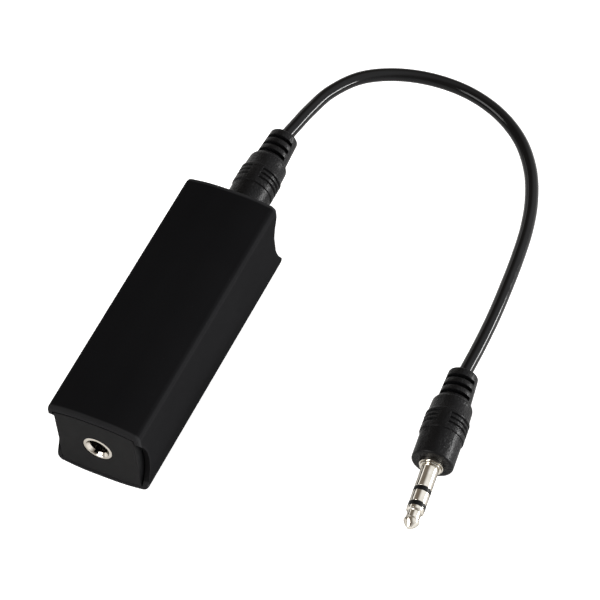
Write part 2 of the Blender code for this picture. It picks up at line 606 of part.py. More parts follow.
# Plugs: +Y runs from the pin to the cord, and Y = 0 is the collar's front plane
def moulding_profile():
    """The moulding's turned profile: barrel, raised grip band, shoulder and tapered strain relief."""
    hole = TAIL_RADIUS + CLEARANCE
    seat = COLLAR_REAR_RADIUS + CLEARANCE
    recess_end = MOULDING_FRONT + COLLAR_SEAT + CLEARANCE
    edge = [math.radians(30 * k) for k in range(4)]
    front = [(MOULDING_FRONT + MOULDING_EDGE * (1 - math.cos(a)),
              MOULDING_FRONT_RADIUS - MOULDING_EDGE * (1 - math.sin(a))) for a in edge]
    step = BAND_RADIUS - MOULDING_FRONT_RADIUS
    drop = SHOULDER_RADIUS - RELIEF_START_RADIUS
    shoulder = [(SHOULDER_START + (SHOULDER_END - SHOULDER_START) * math.sin(a),
                 SHOULDER_RADIUS - drop * (1 - math.cos(a))) for a in edge]
    end = [(RELIEF_END - RELIEF_EDGE * (1 - math.sin(a)), RELIEF_END_RADIUS - RELIEF_EDGE * (1 - math.cos(a)))
           for a in edge]
    return ([(TAIL_END + CLEARANCE, 0.0), (TAIL_END + CLEARANCE, hole), (recess_end, hole), (recess_end, seat),
             (MOULDING_FRONT, seat)] + front
            + [(BAND_START, MOULDING_FRONT_RADIUS), (BAND_START + step / 2, BAND_RADIUS),
               (BAND_END - 2 * step, BAND_RADIUS), (BAND_END, MOULDING_FRONT_RADIUS)]
            + shoulder + end + [(RELIEF_END, 0.0)])


def moulding_cuts(name):
    """The grip grooves on both flanks and the slots through the strain relief's top and bottom."""
    shape = bmesh.new()
    for number in range(GROOVE_COUNT):
        station = GROOVE_START + GROOVE_PITCH * number
        wide, narrow = GROOVE_WIDTH * 0.8, GROOVE_WIDTH * 0.3
        profile = [(station - wide, BAND_RADIUS + GROOVE_DEPTH), (station - narrow, BAND_RADIUS - GROOVE_DEPTH),
                   (station + narrow, BAND_RADIUS - GROOVE_DEPTH), (station + wide, BAND_RADIUS + GROOVE_DEPTH)]
        for start in (GROOVE_GAP_ANGLE, 180 + GROOVE_GAP_ANGLE):
            sweep = 180 - 2 * GROOVE_GAP_ANGLE
            add_turned(shape, profile, round(MOULDING_STEPS * sweep / 360), start, sweep)
    for number in range(RELIEF_SLOT_COUNT):
        station = RELIEF_SLOT_START + RELIEF_SLOT_PITCH * number
        profile = [(station, RELIEF_CORE_RADIUS), (station, SHOULDER_RADIUS),
                   (station + RELIEF_SLOT_WIDTH, SHOULDER_RADIUS), (station + RELIEF_SLOT_WIDTH, RELIEF_CORE_RADIUS)]
        for start in (-RELIEF_SLOT_ANGLE, 180 - RELIEF_SLOT_ANGLE):
            add_turned(shape, profile, round(MOULDING_STEPS * RELIEF_SLOT_ANGLE / 180), start, 2 * RELIEF_SLOT_ANGLE)
    return cutter(name + "_cut", shape)


def build_plug(name, location, turn):
    """One plug: its moulding and the five stacked pieces of its pin."""
    plug = group(name, location, turn)
    shape = bmesh.new()
    add_turned(shape, moulding_profile(), MOULDING_STEPS)
    moulding = new_object(name + "_moulding", mesh_from(name + "_moulding", shape, 35), MOULDING_PVC, plug)
    guide = moulding_cuts(name)
    guide.parent = plug
    boolean(moulding, guide)

    bore = CORE_ROD_RADIUS + CLEARANCE
    collar_rear = MOULDING_FRONT + COLLAR_SEAT
    rear_insulator = -SLEEVE_CONTACT
    ring_start = rear_insulator - INSULATOR
    front_insulator = ring_start - RING_CONTACT
    tip_start = front_insulator - INSULATOR
    stack = {
        "sleeve_contact": (NICKEL, [(-SLEEVE_CONTACT, bore), (-SLEEVE_CONTACT, PLUG_PIN_RADIUS), (0, PLUG_PIN_RADIUS),
                                    (0, COLLAR_FRONT_RADIUS), (COLLAR_STEP, COLLAR_FRONT_RADIUS),
                                    (COLLAR_STEP, COLLAR_REAR_RADIUS), (collar_rear, COLLAR_REAR_RADIUS),
                                    (collar_rear, TAIL_RADIUS), (TAIL_END, TAIL_RADIUS), (TAIL_END, bore)]),
        "rear_insulator": (INSULATOR_PLASTIC, [(ring_start + STACK_GAP, bore), (ring_start + STACK_GAP, INSULATOR_RADIUS),
                                               (rear_insulator - STACK_GAP, INSULATOR_RADIUS),
                                               (rear_insulator - STACK_GAP, bore)]),
        "ring_contact": (NICKEL, [(front_insulator, bore), (front_insulator, PLUG_PIN_RADIUS),
                                  (ring_start, PLUG_PIN_RADIUS), (ring_start, bore)]),
        "front_insulator": (INSULATOR_PLASTIC, [(tip_start + STACK_GAP, bore), (tip_start + STACK_GAP, INSULATOR_RADIUS),
                                                (front_insulator - STACK_GAP, INSULATOR_RADIUS),
                                                (front_insulator - STACK_GAP, bore)]),
        "tip_contact": (NICKEL, [(-PIN_LENGTH, 0), (-PIN_LENGTH, TIP_END_RADIUS * 0.7),
                                 (-PIN_LENGTH + TIP_END_RADIUS * 0.3, TIP_END_RADIUS),
                                 (-TIP_HEAD_START - TIP_END_RADIUS * 0.3, TIP_HEAD_RADIUS),
                                 (-TIP_HEAD_START, TIP_HEAD_RADIUS), (tip_start - 3 * TIP_FLANGE, TIP_NECK_RADIUS),
                                 (tip_start - 1.6 * TIP_FLANGE, TIP_NECK_RADIUS), (tip_start - TIP_FLANGE, PLUG_PIN_RADIUS),
                                 (tip_start, PLUG_PIN_RADIUS), (tip_start, CORE_ROD_RADIUS),
                                 (TAIL_END - CLEARANCE, CORE_ROD_RADIUS), (TAIL_END - CLEARANCE, 0)]),
    }
    for piece, (material, profile) in stack.items():
        shape = bmesh.new()
        add_turned(shape, profile, SMALL_TURN_STEPS)
        new_object(f"{name}_{piece}", mesh_from(f"{name}_{piece}", shape, 25), material, plug)
    return plug


# Lead
def cord_route():
    """The cord's chosen points, from the socket's plug across the floor to the free plug."""
    turn = math.radians(FREE_PLUG_TURN)
    reach = RELIEF_END + CLEARANCE
    start = Vector((0, BUSH_FACE_Y + PLUG_SEAT_GAP + reach, SOCKET_HEIGHT))
    end = Vector((FREE_PLUG_X - math.sin(turn) * reach, FREE_PLUG_Y + math.cos(turn) * reach, BAND_RADIUS + FREE_PLUG_LIFT))
    chosen = [(0.0006, 0.0565, 0.0099), (0.0015, 0.0615, 0.0097), (0.0031, 0.0682, 0.0089), (0.0068, 0.0749, 0.0077),
              (0.0128, 0.0796, 0.0063), (0.0201, 0.0823, 0.0049), (0.0280, 0.0829, 0.0035), (0.0355, 0.0810, 0.0024),
              (0.0420, 0.0768, 0.0017), (0.0470, 0.0706, 0.0015), (0.0504, 0.0634, 0.0017), (0.0526, 0.0559, 0.0022),
              (0.0540, 0.0481, 0.0028), (0.0550, 0.0403, 0.0034), (0.0558, 0.0324, 0.00395), (0.0562, 0.0245, 0.00435)]
    return [start] + [Vector(point) for point in chosen] + [end]


def smooth_points(route, spacing):
    """Reads evenly spaced points from a smooth curve through the route's points."""
    knots = [0.0]
    for a, b in zip(route, route[1:]):
        knots.append(knots[-1] + (b - a).length)
    slopes = []
    last = len(route) - 1
    for k in range(len(route)):
        before, after = max(k - 1, 0), min(k + 1, last)
        slopes.append((route[after] - route[before]) / (knots[after] - knots[before]))
    fine = []
    for k in range(last):
        span = knots[k + 1] - knots[k]
        for step in range(20):
            u = step / 20
            fine.append((2 * u ** 3 - 3 * u ** 2 + 1) * route[k] + (u ** 3 - 2 * u ** 2 + u) * span * slopes[k]
                        + (3 * u ** 2 - 2 * u ** 3) * route[k + 1] + (u ** 3 - u ** 2) * span * slopes[k + 1])
    fine.append(route[-1])
    travelled = [0.0]
    for a, b in zip(fine, fine[1:]):
        travelled.append(travelled[-1] + (b - a).length)
    count = max(2, round(travelled[-1] / spacing))
    points, k = [], 0
    for number in range(count + 1):
        target = travelled[-1] * number / count
        while k < len(fine) - 2 and travelled[k + 1] < target:
            k += 1
        share = (target - travelled[k]) / (travelled[k + 1] - travelled[k])
        points.append(fine[k].lerp(fine[k + 1], min(share, 1.0)))
    return points


def build_cord():
    """The cord as a round tube along its route."""
    points = smooth_points(cord_route(), CORD_SPACING)
    curve = bpy.data.curves.new("lead_cord", "CURVE")
    curve.dimensions = "3D"
    curve.bevel_depth = CORD_RADIUS
    curve.bevel_resolution = 2
    curve.use_fill_caps = True
    spline = curve.splines.new("POLY")
    spline.points.add(len(points) - 1)
    for point, place in zip(spline.points, points):
        point.co = (*place, 1.0)
    curve.materials.append(CORD_PVC)
    cord = bpy.data.objects.new("lead_cord", curve)
    bpy.context.scene.collection.objects.link(cord)


def main():
    """Builds the isolator."""
    build_sleeve()
    for label, end in (("front", -1), ("rear", 1)):
        build_cap(label + "_end_cap", end)
        build_jack(label + "_jack", end)
        build_transformer(label + "_transformer", end * TRANSFORMER_Y)
    build_board()
    build_plug("rear_plug", (0, BUSH_FACE_Y + PLUG_SEAT_GAP, SOCKET_HEIGHT), 0.0)
    build_plug("free_plug", (FREE_PLUG_X, FREE_PLUG_Y, BAND_RADIUS + FREE_PLUG_LIFT), FREE_PLUG_TURN)
    build_cord()


main()
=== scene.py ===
"""Finished look of a ground loop isolator: a black case, two sockets and a patch lead with two plugs.

Metres throughout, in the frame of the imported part: +Y runs along the case towards its lead, and +Z is up.
"""
import logging
import math
from abc import ABC, abstractmethod
from collections.abc import Callable, Sequence
from dataclasses import dataclass, field
from enum import Enum

import bmesh
import bpy
from bmesh.types import BMEdge
from bpy.types import Material, Node, NodeSocket, NodeTree, Object
from mathutils import Matrix, Vector


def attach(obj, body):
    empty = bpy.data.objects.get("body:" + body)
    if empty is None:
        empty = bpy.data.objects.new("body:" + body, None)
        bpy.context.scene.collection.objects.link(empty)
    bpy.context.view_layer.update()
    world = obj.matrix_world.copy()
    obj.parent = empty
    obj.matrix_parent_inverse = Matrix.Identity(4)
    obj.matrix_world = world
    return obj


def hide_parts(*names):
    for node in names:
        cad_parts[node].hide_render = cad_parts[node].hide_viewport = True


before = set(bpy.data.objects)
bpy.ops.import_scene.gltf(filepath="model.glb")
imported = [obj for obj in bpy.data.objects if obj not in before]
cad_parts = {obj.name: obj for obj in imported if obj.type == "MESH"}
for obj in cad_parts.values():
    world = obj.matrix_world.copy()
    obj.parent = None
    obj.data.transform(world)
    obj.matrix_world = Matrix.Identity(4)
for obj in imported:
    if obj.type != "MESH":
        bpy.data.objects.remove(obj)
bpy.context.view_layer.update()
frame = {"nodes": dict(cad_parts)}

LOG = logging.getLogger("isolator")
MM = 0.001
TOUCH = 1e-6
SQUARE_ON = 0.99
Point = tuple[float, float, float]
Span = tuple[float, float]
Profile = Sequence[Span]
Colour = tuple[float, float, float, float]
Coat = tuple[NodeSocket, Colour]


# Working at the bench
class Pick(Enum):
    """What an edit-mode selection is made of."""

    VERTS = "VERT"
    EDGES = "EDGE"
    FACES = "FACE"


def clear_bench() -> None:
    """Leaves edit mode and deselects every object."""
    if bpy.context.object is not None and bpy.context.object.mode != "OBJECT":
        bpy.ops.object.mode_set(mode="OBJECT")
    bpy.ops.object.select_all(action="DESELECT")


def take(piece: Object) -> None:
    """Makes a piece the only selected and active one, in object mode."""
    clear_bench()
    piece.select_set(True)
    bpy.context.view_layer.objects.active = piece


def copied(piece: Object, name: str) -> Object:
    """Copies a piece, with a mesh of its own.

    Args:
        piece: the piece that was modelled.
        name: the copy's name.

    Returns:
        The copy.
    """
    take(piece)
    bpy.ops.object.duplicate(linked=False)
    copy = bpy.context.object
    copy.name = copy.data.name = name
    return copy


def place(piece: Object, location: Point, turn: float, axis: str = "Z") -> None:
    """Turns a piece about an axis through the origin, moves it, and freezes that into its mesh.

    Args:
        piece: an object that sits at the origin.
        location: where its own origin goes.
        turn: degrees about the axis.
        axis: X, Y or Z.
    """
    take(piece)
    piece.matrix_world = Matrix.Translation(location) @ Matrix.Rotation(math.radians(turn), 4, axis)
    bpy.ops.object.transform_apply(location=True, rotation=True, scale=True)


def hand_over(piece: Object, node: str, slot: str) -> None:
    """Puts a finished piece on the part's one body, in place of a solid.

    Args:
        piece: the finished piece.
        node: the solid that it stands for.
        slot: not used.
    """
    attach(piece, "root")
    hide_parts(node)


def middle_of(edge: BMEdge) -> Vector:
    """The middle of an edge."""
    return (edge.verts[0].co + edge.verts[1].co) / 2


@dataclass
class Workpiece:
    """One mesh on the bench, shaped with edit-mode operators and finished with applied modifiers."""

    object: Object

    @classmethod
    def add(cls, name: str, primitive: Callable[..., object], **settings: object) -> "Workpiece":
        """Adds a primitive and freezes its place into its mesh.

        Args:
            name: the piece's name.
            primitive: the operator that adds the primitive.
            **settings: the operator's own settings.

        Returns:
            The primitive as a workpiece.
        """
        clear_bench()
        primitive(**settings)
        piece = cls(bpy.context.object)
        piece.object.name = piece.object.data.name = name
        bpy.ops.object.transform_apply(location=True, rotation=True, scale=True)
        return piece

    @classmethod
    def draw(cls, name: str, points: Sequence[Vector]) -> "Workpiece":
        """Draws an open line by extruding one vertex, and leaves it selected.

        Args:
            name: the piece's name.
            points: the line's points.

        Returns:
            The line as a workpiece.
        """
        piece = cls.add(name, bpy.ops.mesh.primitive_plane_add, size=MM)
        piece.all()
        bpy.ops.mesh.merge(type="CENTER")
        piece.all()
        bpy.ops.transform.translate(value=points[0])
        for before, after in zip(points, points[1:]):
            bpy.ops.mesh.extrude_region_move(TRANSFORM_OT_translate={"value": after - before})
        piece.all()
        return piece

    def copy(self, location: Point, turn: float, axis: str) -> "Workpiece":
        """A copy of this piece, turned about an axis through the origin and moved.

        Args:
            location: where the copy's own origin goes.
            turn: degrees about the axis.
            axis: X, Y or Z.

        Returns:
            The copy.
        """
        twin = Workpiece(copied(self.object, f"{self.object.name}_copy"))
        place(twin.object, location, turn, axis)
        return twin

    def pick(self, kind: Pick, test: Callable[..., bool]) -> int:
        """Selects what passes a test, in edit mode.

        Args:
            kind: vertices, edges or faces.
            test: tells by its place or normal whether an element is wanted.

        Returns:
            How many elements were selected.
        """
        if self.object.mode != "EDIT":
            take(self.object)
            bpy.ops.object.mode_set(mode="EDIT")
        bpy.ops.mesh.select_mode(type=kind.value)
        bpy.ops.mesh.select_all(action="DESELECT")
        shape = bmesh.from_edit_mesh(self.object.data)
        pool = {Pick.VERTS: shape.verts, Pick.EDGES: shape.edges, Pick.FACES: shape.faces}[kind]
        wanted = [item for item in pool if test(item)]
        for item in wanted:
            item.select_set(True)
        shape.select_flush_mode()
        bmesh.update_edit_mesh(self.object.data)
        return len(wanted)

    def all(self) -> None:
        """Selects the whole mesh in edit mode."""
        self.pick(Pick.VERTS, lambda item: True)

    def face_outwards(self) -> None:
        """Turns every face outwards."""
        self.all()
        bpy.ops.mesh.normals_make_consistent(inside=False)

    def apply(self, kind: str, **settings: object) -> None:
        """Adds a modifier and applies it.

        Args:
            kind: the modifier's type.
            **settings: its values.
        """
        take(self.object)
        change = self.object.modifiers.new(kind.lower(), kind)
        for key, value in settings.items():
            setattr(change, key, value)
        bpy.ops.object.modifier_apply(modifier=change.name)

    def cut(self, *tools: "Workpiece") -> None:
        """Cuts other pieces out of this one, and throws them away."""
        for tool in tools:
            clear_bench()
            self.apply("BOOLEAN", operation="DIFFERENCE", solver="EXACT", object=tool.object)
            bpy.data.meshes.remove(tool.object.data)

    def round_edges(self, width: float, segments: int, least: float, test: Callable[[BMEdge], bool]) -> None:
        """Rounds the sharp edges that pass a test.

        Args:
            width: how far the rounding reaches from each edge.
            segments: facets across the rounding.
            least: the smallest angle between two faces, in degrees, that counts as sharp.
            test: tells by its place whether an edge is wanted.
        """
        sharp = math.radians(least)
        if self.pick(Pick.EDGES, lambda edge: len(edge.link_faces) == 2
                     and edge.calc_face_angle() > sharp and test(edge)):
            bpy.ops.mesh.bevel(offset=width, segments=segments, affect="EDGES", clamp_overlap=True)

    def finish(self, material: Material, smooth: float, flats: bool = False) -> Object:
        """Cleans the mesh, smooths it up to an angle and gives it its material.

        Args:
            material: the finish.
            smooth: edges flatter than this, in degrees, are shaded smooth.
            flats: keeps large faces flat beside their rounded edges.

        Returns:
            The finished object.
        """
        self.all()
        bpy.ops.mesh.remove_doubles(threshold=TOUCH / 5)
        bpy.ops.mesh.normals_make_consistent(inside=False)
        take(self.object)
        bpy.ops.object.shade_smooth_by_angle(angle=math.radians(smooth))
        if flats:
            self.apply("WEIGHTED_NORMAL", keep_sharp=True, weight=60)
        self.object.data.materials.clear()
        self.object.data.materials.append(material)
        return self.object


def turned(name: str, profile: Profile, steps: int, start: float = 180.0, sweep: float = 360.0) -> Workpiece:
    """Draws a profile and spins it about the Y axis.

    Args:
        name: the piece's name.
        profile: (station, radius) points; a profile that starts and ends on the axis stays open there.
        steps: facets round the sweep.
        start: the profile's angle in degrees, from +Z towards +X.
        sweep: how far it is spun; less than a full turn gives a solid with flat ends.

    Returns:
        The turned piece.
    """
    angle = math.radians(start)
    points = [Vector((radius * math.sin(angle), station, radius * math.cos(angle)))
              for station, radius in profile]
    piece = Workpiece.draw(name, points)
    if sweep < 360.0:
        bpy.ops.mesh.edge_face_add()
    elif profile[0][1] > 0.0:
        ends = (points[0], points[-1])
        piece.pick(Pick.VERTS, lambda vert: min((vert.co - end).length for end in ends) < TOUCH / 10)
        bpy.ops.mesh.edge_face_add()
    piece.all()
    bpy.ops.mesh.spin(steps=steps, angle=-math.radians(sweep), center=(0, 0, 0), axis=(0, 1, 0))
    piece.all()
    bpy.ops.mesh.remove_doubles(threshold=TOUCH)
    bpy.ops.mesh.normals_make_consistent(inside=False)
    return piece


def quarter(steps: int) -> list[float]:
    """Angles from 0 to 90 degrees, in radians."""
    return [math.radians(90 * k / steps) for k in range(steps + 1)]


def way_out(azimuth: float, elevation: float) -> Vector:
    """The way out from the object at two angles in radians, both 0 straight in front of it."""
    level = math.cos(elevation)
    return Vector((math.sin(azimuth) * level, -math.cos(azimuth) * level, math.sin(elevation)))


# Camera
@dataclass(frozen=True)
class PhotoCamera:
    """The camera that took the photograph, fitted to the plug's pin and the case's edges."""

    azimuth: float = 31.14113
    elevation: float = 53.95276
    roll: float = 6.70363
    distance: float = 0.6934754
    target: Point = (0.01698037, 0.02336403, 0.0)
    focal_pixels: float = 3438.5637
    frame_pixels: float = 600.0
    sensor: float = 36.0

    def set_up(self) -> None:
        """Places the camera and makes it the scene's own."""
        az, el, roll = (math.radians(value) for value in (self.azimuth, self.elevation, self.roll))
        back = way_out(az, el)
        right = Vector((math.cos(az), math.sin(az), 0.0))
        down = (-back).cross(right)
        turned_right = math.cos(roll) * right + math.sin(roll) * down
        turned_down = math.cos(roll) * down - math.sin(roll) * right
        camera = bpy.data.objects.new("photo_camera", bpy.data.cameras.new("photo_camera"))
        bpy.context.scene.collection.objects.link(camera)
        matrix = Matrix((turned_right, -turned_down, back)).transposed().to_4x4()
        matrix.translation = Vector(self.target) + back * self.distance
        camera.matrix_world = matrix
        camera.data.sensor_width = self.sensor
        camera.data.lens = self.focal_pixels * self.sensor / self.frame_pixels
        camera.data.clip_start = 0.01
        bpy.context.scene.camera = camera


# Finishes
# A Mix node's colour sockets go by number, because its other sockets share their names
MIX_A, MIX_B, MIXED = 6, 7, 2
# The distance between a Wave texture's bands at scale 1
WAVE_PITCH = 0.31


def linear(code: str) -> Colour:
    """Turns an sRGB hex value such as "#1a1a1b" into linear light."""
    channels = [int(code[k:k + 2], 16) / 255 for k in (1, 3, 5)]
    return (*(c / 12.92 if c <= 0.04045 else ((c + 0.055) / 1.055) ** 2.4 for c in channels), 1.0)


def limits(span: Span, unit: float = 1.0) -> dict[str, float]:
    """The ends of the range that a pattern is read over."""
    return {"From Min": span[0] * unit, "From Max": span[1] * unit}


def add_node(tree: NodeTree, kind: str, inputs: dict[str | int, object] | None = None,
             **settings: object) -> Node:
    """Adds a node with its settings, values and links.

    Args:
        tree: the material's or world's node tree.
        kind: the node's type, after the words ShaderNode.
        inputs: a value or an output socket for each input.
        **settings: the node's own properties.

    Returns:
        The node.
    """
    node = tree.nodes.new(f"ShaderNode{kind}")
    for key, value in settings.items():
        setattr(node, key, value)
    for key, value in (inputs or {}).items():
        if isinstance(value, NodeSocket):
            tree.links.new(value, node.inputs[key])
        else:
            node.inputs[key].default_value = value
    return node


def overlaid(tree: NodeTree, ground: Colour, coats: Sequence[Coat]) -> NodeSocket:
    """Lays colours over a ground colour, one after the other.

    Args:
        tree: the material's or world's node tree.
        ground: the colour beneath.
        coats: the weight at which each colour shows, and the colour.

    Returns:
        The colour that shows in the end.
    """
    for weight, colour in coats:
        ground = add_node(tree, "Mix", {"Factor": weight, MIX_A: ground, MIX_B: colour},
                          data_type="RGBA").outputs[MIXED]
    return ground


class Axis(Enum):
    """The axis that a directional pattern runs along."""

    X = 0
    Y = 1
    Z = 2


@dataclass(frozen=True)
class Finish(ABC):
    """A real material and how its surface was made.

    Every pattern reads object coordinates, and every scale and depth comes from a size in millimetres.
    """

    name: str
    colour: str
    shade: str
    roughness: float
    ior: float = 1.5
    metallic: float = 0.0
    specular: float = 0.5
    patch: float = 6.0
    tones: Span = (0.35, 0.65)
    rough_patch: float = 0.4
    rough_span: Span = (0.3, 0.7)
    rough_swing: float = 0.06
    depth: float = 0.006

    def make(self) -> Material:
        """Builds the material.

        Returns:
            A node material that may be shared between pieces.
        """
        material = bpy.data.materials.new(self.name)
        material.use_nodes = True
        tree = material.node_tree
        shader = tree.nodes["Principled BSDF"]
        spot = add_node(tree, "TexCoord").outputs["Object"]
        relief = add_node(tree, "Bump", {"Height": self.relief(tree, spot), "Distance": self.depth * MM})
        constants = {"Metallic": self.metallic, "IOR": self.ior, "Specular IOR Level": self.specular}
        for name, value in {**constants, **self.extras()}.items():
            shader.inputs[name].default_value = value
        colour = overlaid(tree, linear(self.colour), self.tint(tree, spot))
        tree.links.new(colour, shader.inputs["Base Color"])
        tree.links.new(self.polish(tree, spot), shader.inputs["Roughness"])
        tree.links.new(relief.outputs[0], shader.inputs["Normal"])
        material.diffuse_color = linear(self.colour)
        return material

    def lumps(self, tree: NodeTree, spot: NodeSocket, size: float, detail: float = 2.0,
              stretch: Point = (1.0, 1.0, 1.0)) -> NodeSocket:
        """A pattern whose lumps are about a size in millimetres, pulled out along an axis by stretch."""
        scaled = add_node(tree, "Mapping", {"Vector": spot, "Scale": tuple(1 / s for s in stretch)})
        return add_node(tree, "TexNoise", {"Vector": scaled.outputs[0], "Scale": 1 / (size * MM),
                                           "Detail": detail}).outputs["Fac"]

    def layered(self, tree: NodeTree, spot: NodeSocket, first: Span, second: Span) -> NodeSocket:
        """The sum of two patterns, each given by its size in millimetres and its detail."""
        one, other = (self.lumps(tree, spot, size, detail) for size, detail in (first, second))
        return add_node(tree, "Math", {0: one, 1: other}, operation="ADD").outputs[0]

    def tint(self, tree: NodeTree, spot: NodeSocket) -> list[Coat]:
        """What lies over the base colour: a close second tone, in soft patches."""
        tone = add_node(tree, "MapRange", {"Value": self.lumps(tree, spot, self.patch), **limits(self.tones)})
        return [(tone.outputs[0], linear(self.shade))]

    def polish(self, tree: NodeTree, spot: NodeSocket) -> NodeSocket:
        """Roughness: a little duller and shinier from patch to patch, as handling leaves it."""
        patches = self.lumps(tree, spot, self.patch * self.rough_patch)
        return add_node(tree, "MapRange", {"Value": patches, **limits(self.rough_span),
                                           "To Min": self.roughness - self.rough_swing,
                                           "To Max": self.roughness + self.rough_swing}).outputs[0]

    @abstractmethod
    def relief(self, tree: NodeTree, spot: NodeSocket) -> NodeSocket:
        """The height of the surface's fine relief, as a share of its depth."""

    def extras(self) -> dict[str, object]:
        """Constants of this finish alone, for the shader's own sockets."""
        return {}


@dataclass(frozen=True)
class MouldedPlastic(Finish):
    """Injection-moulded plastic from a spark-eroded tool: an even, matt grain that breaks up highlights."""

    grain: float = 0.16
    peel: float = 9.0

    def relief(self, tree: NodeTree, spot: NodeSocket) -> NodeSocket:
        """Fine pits over an orange peel, whose lumps are coarser by the factor peel."""
        return self.layered(tree, spot, (self.grain, 3.0), (self.grain * self.peel, 1.0))


@dataclass(frozen=True)
class EdgeSheenCase(MouldedPlastic):
    """The same grained plastic, with a painted highlight along its lips, corners and arcs, where their
    roundings catch the light.

    The painted highlight fades out where a lip faces down, so the lip's underside stays dark as painted
    shade, and its strength varies in soft blotches. The spans of the lips, corners and arcs run from where
    the painted highlight starts to where it is full.
    """

    # Colour of the painted highlight along the lips, corners and arcs
    painted_sheen: str = "#232324"
    middle: Point = (0.0, 0.0, 10.0)
    lip: Span = (29.2, 29.6)
    corner_lean: float = 4.0
    corner: Span = (47.0, 48.0)
    corner_share: float = 0.2
    arc_middle: Point = (0.0, 39.5, -0.6)
    arc: Span = (12.3, 11.9)
    arc_share: float = 0.2
    # Facing-up span over which a lip's painted highlight fades out, leaving painted shade where the lip faces
    # down
    facing_down_shade: Span = (-0.75, -0.45)
    blotch: float = 7.0
    blotch_tones: Span = (0.35, 0.6)
    least_sheen: float = 0.85

    def tint(self, tree: NodeTree, spot: NodeSocket) -> list[Coat]:
        """The plain tones, and a painted highlight: full on lips that don't face down, fading out where they
        do to leave painted shade, weaker on corners and arcs.

        Args:
            tree: the material's node tree.
            spot: the object coordinates that patterns read.

        Returns:
            The coats over the base colour.
        """
        centred = add_node(tree, "VectorMath", {0: spot, 1: tuple(c * MM for c in self.middle)},
                           operation="SUBTRACT").outputs[0]
        off = add_node(tree, "VectorMath", {0: centred}, operation="ABSOLUTE").outputs[0]
        across, along, above = add_node(tree, "SeparateXYZ", {0: off}).outputs
        normal = add_node(tree, "NewGeometry").outputs["Normal"]
        facing_up = add_node(tree, "SeparateXYZ", {0: normal}).outputs[2]
        # Painted shade: lips that face down lose their painted highlight
        unshaded = add_node(tree, "MapRange", {"Value": facing_up, **limits(self.facing_down_shade)}).outputs[0]
        blotches = self.lumps(tree, spot, self.blotch, 1.0)
        sheen_blotches = add_node(tree, "MapRange", {"Value": blotches, **limits(self.blotch_tones),
                                              "To Min": self.least_sheen}).outputs[0]
        lip_sheen = add_node(tree, "Math", {0: sheen_blotches, 1: unshaded}, operation="MULTIPLY").outputs[0]
        to_corner = add_node(tree, "Math", {0: across, 1: self.corner_lean, 2: above},
                             operation="MULTIPLY_ADD").outputs[0]
        height = add_node(tree, "SeparateXYZ", {0: centred}).outputs[2]
        flat = add_node(tree, "CombineXYZ", {1: along, 2: height}).outputs[0]
        to_arc = add_node(tree, "VectorMath", {0: flat, 1: tuple(c * MM for c in self.arc_middle)},
                          operation="DISTANCE").outputs["Value"]
        # The painted highlight's weight: the largest of the lips', corners' and arcs' shares
        sheen_weight = 0.0
        for station, span, most in ((along, self.lip, lip_sheen), (to_corner, self.corner, self.corner_share),
                                    (to_arc, self.arc, self.arc_share)):
            sheen_part = add_node(tree, "MapRange", {"Value": station, **limits(span, MM), "To Max": most},
                            interpolation_type="SMOOTHSTEP").outputs[0]
            sheen_weight = add_node(tree, "Math", {0: sheen_weight, 1: sheen_part}, operation="MAXIMUM").outputs[0]
        return [*super().tint(tree, spot), (sheen_weight, linear(self.painted_sheen))]


@dataclass(frozen=True)
class SoftPvc(MouldedPlastic):
    """Flexible PVC moulded over the cord: a leathery grain that sparkles where the light grazes it."""

    sparkle: float = 0.3
    wax: float = 0.17
    filled: float = 0.2

    def relief(self, tree: NodeTree, spot: NodeSocket) -> NodeSocket:
        """The grain, and the fainter one that the film keeps where it fills the pits.

        Args:
            tree: the material's node tree.
            spot: the object coordinates that patterns read.

        Returns:
            The grain's height.
        """
        film = add_node(tree, "Bump", {"Height": self.lumps(tree, spot, self.grain, 1.0),
                                       "Distance": self.depth * self.filled * MM})
        tree.links.new(film.outputs[0], tree.nodes["Principled BSDF"].inputs["Coat Normal"])
        return super().relief(tree, spot)

    def extras(self) -> dict[str, object]:
        """A thin waxy film from the plasticiser."""
        return {"Coat Weight": self.wax, "Coat Roughness": self.sparkle}


@dataclass(frozen=True)
class DrawnJacket(Finish):
    """Extruded PVC jacket: glossy, with faint drawing marks."""

    waves: float = 1.5
    pimples: float = 0.15

    def relief(self, tree: NodeTree, spot: NodeSocket) -> NodeSocket:
        """Slow waves from the die, and fine pimples."""
        return self.layered(tree, spot, (self.waves, 1.0), (self.pimples, 2.0))


@dataclass(frozen=True)
class TurnedPlate(Finish):
    """Brass turned on a lathe and nickel plated: mirror bright, with fine rings round its axis."""

    rings: float = 0.12
    smear: Point = (40.0, 1.0, 40.0)
    edge_tone: str = "#6e6b66"

    def relief(self, tree: NodeTree, spot: NodeSocket) -> NodeSocket:
        """Tool marks: a pattern smeared across the axis, so that it changes along it only."""
        return self.lumps(tree, spot, self.rings, stretch=self.smear)

    def extras(self) -> dict[str, object]:
        """Nickel's dip in brightness just before grazing, which draws a fine grey line round each rim."""
        return {"Specular Tint": linear(self.edge_tone)}


@dataclass(frozen=True)
class TinnedStrip(Finish):
    """Phosphor bronze strip, stamped and tinned: satin, with rolling marks along one axis."""

    marks: float = 0.08
    smear: float = 25.0
    along: Axis = Axis.Z

    def relief(self, tree: NodeTree, spot: NodeSocket) -> NodeSocket:
        """Rolling marks."""
        stretch = tuple(self.smear if axis is self.along else 1.0 for axis in Axis)
        return self.lumps(tree, spot, self.marks, stretch=stretch)


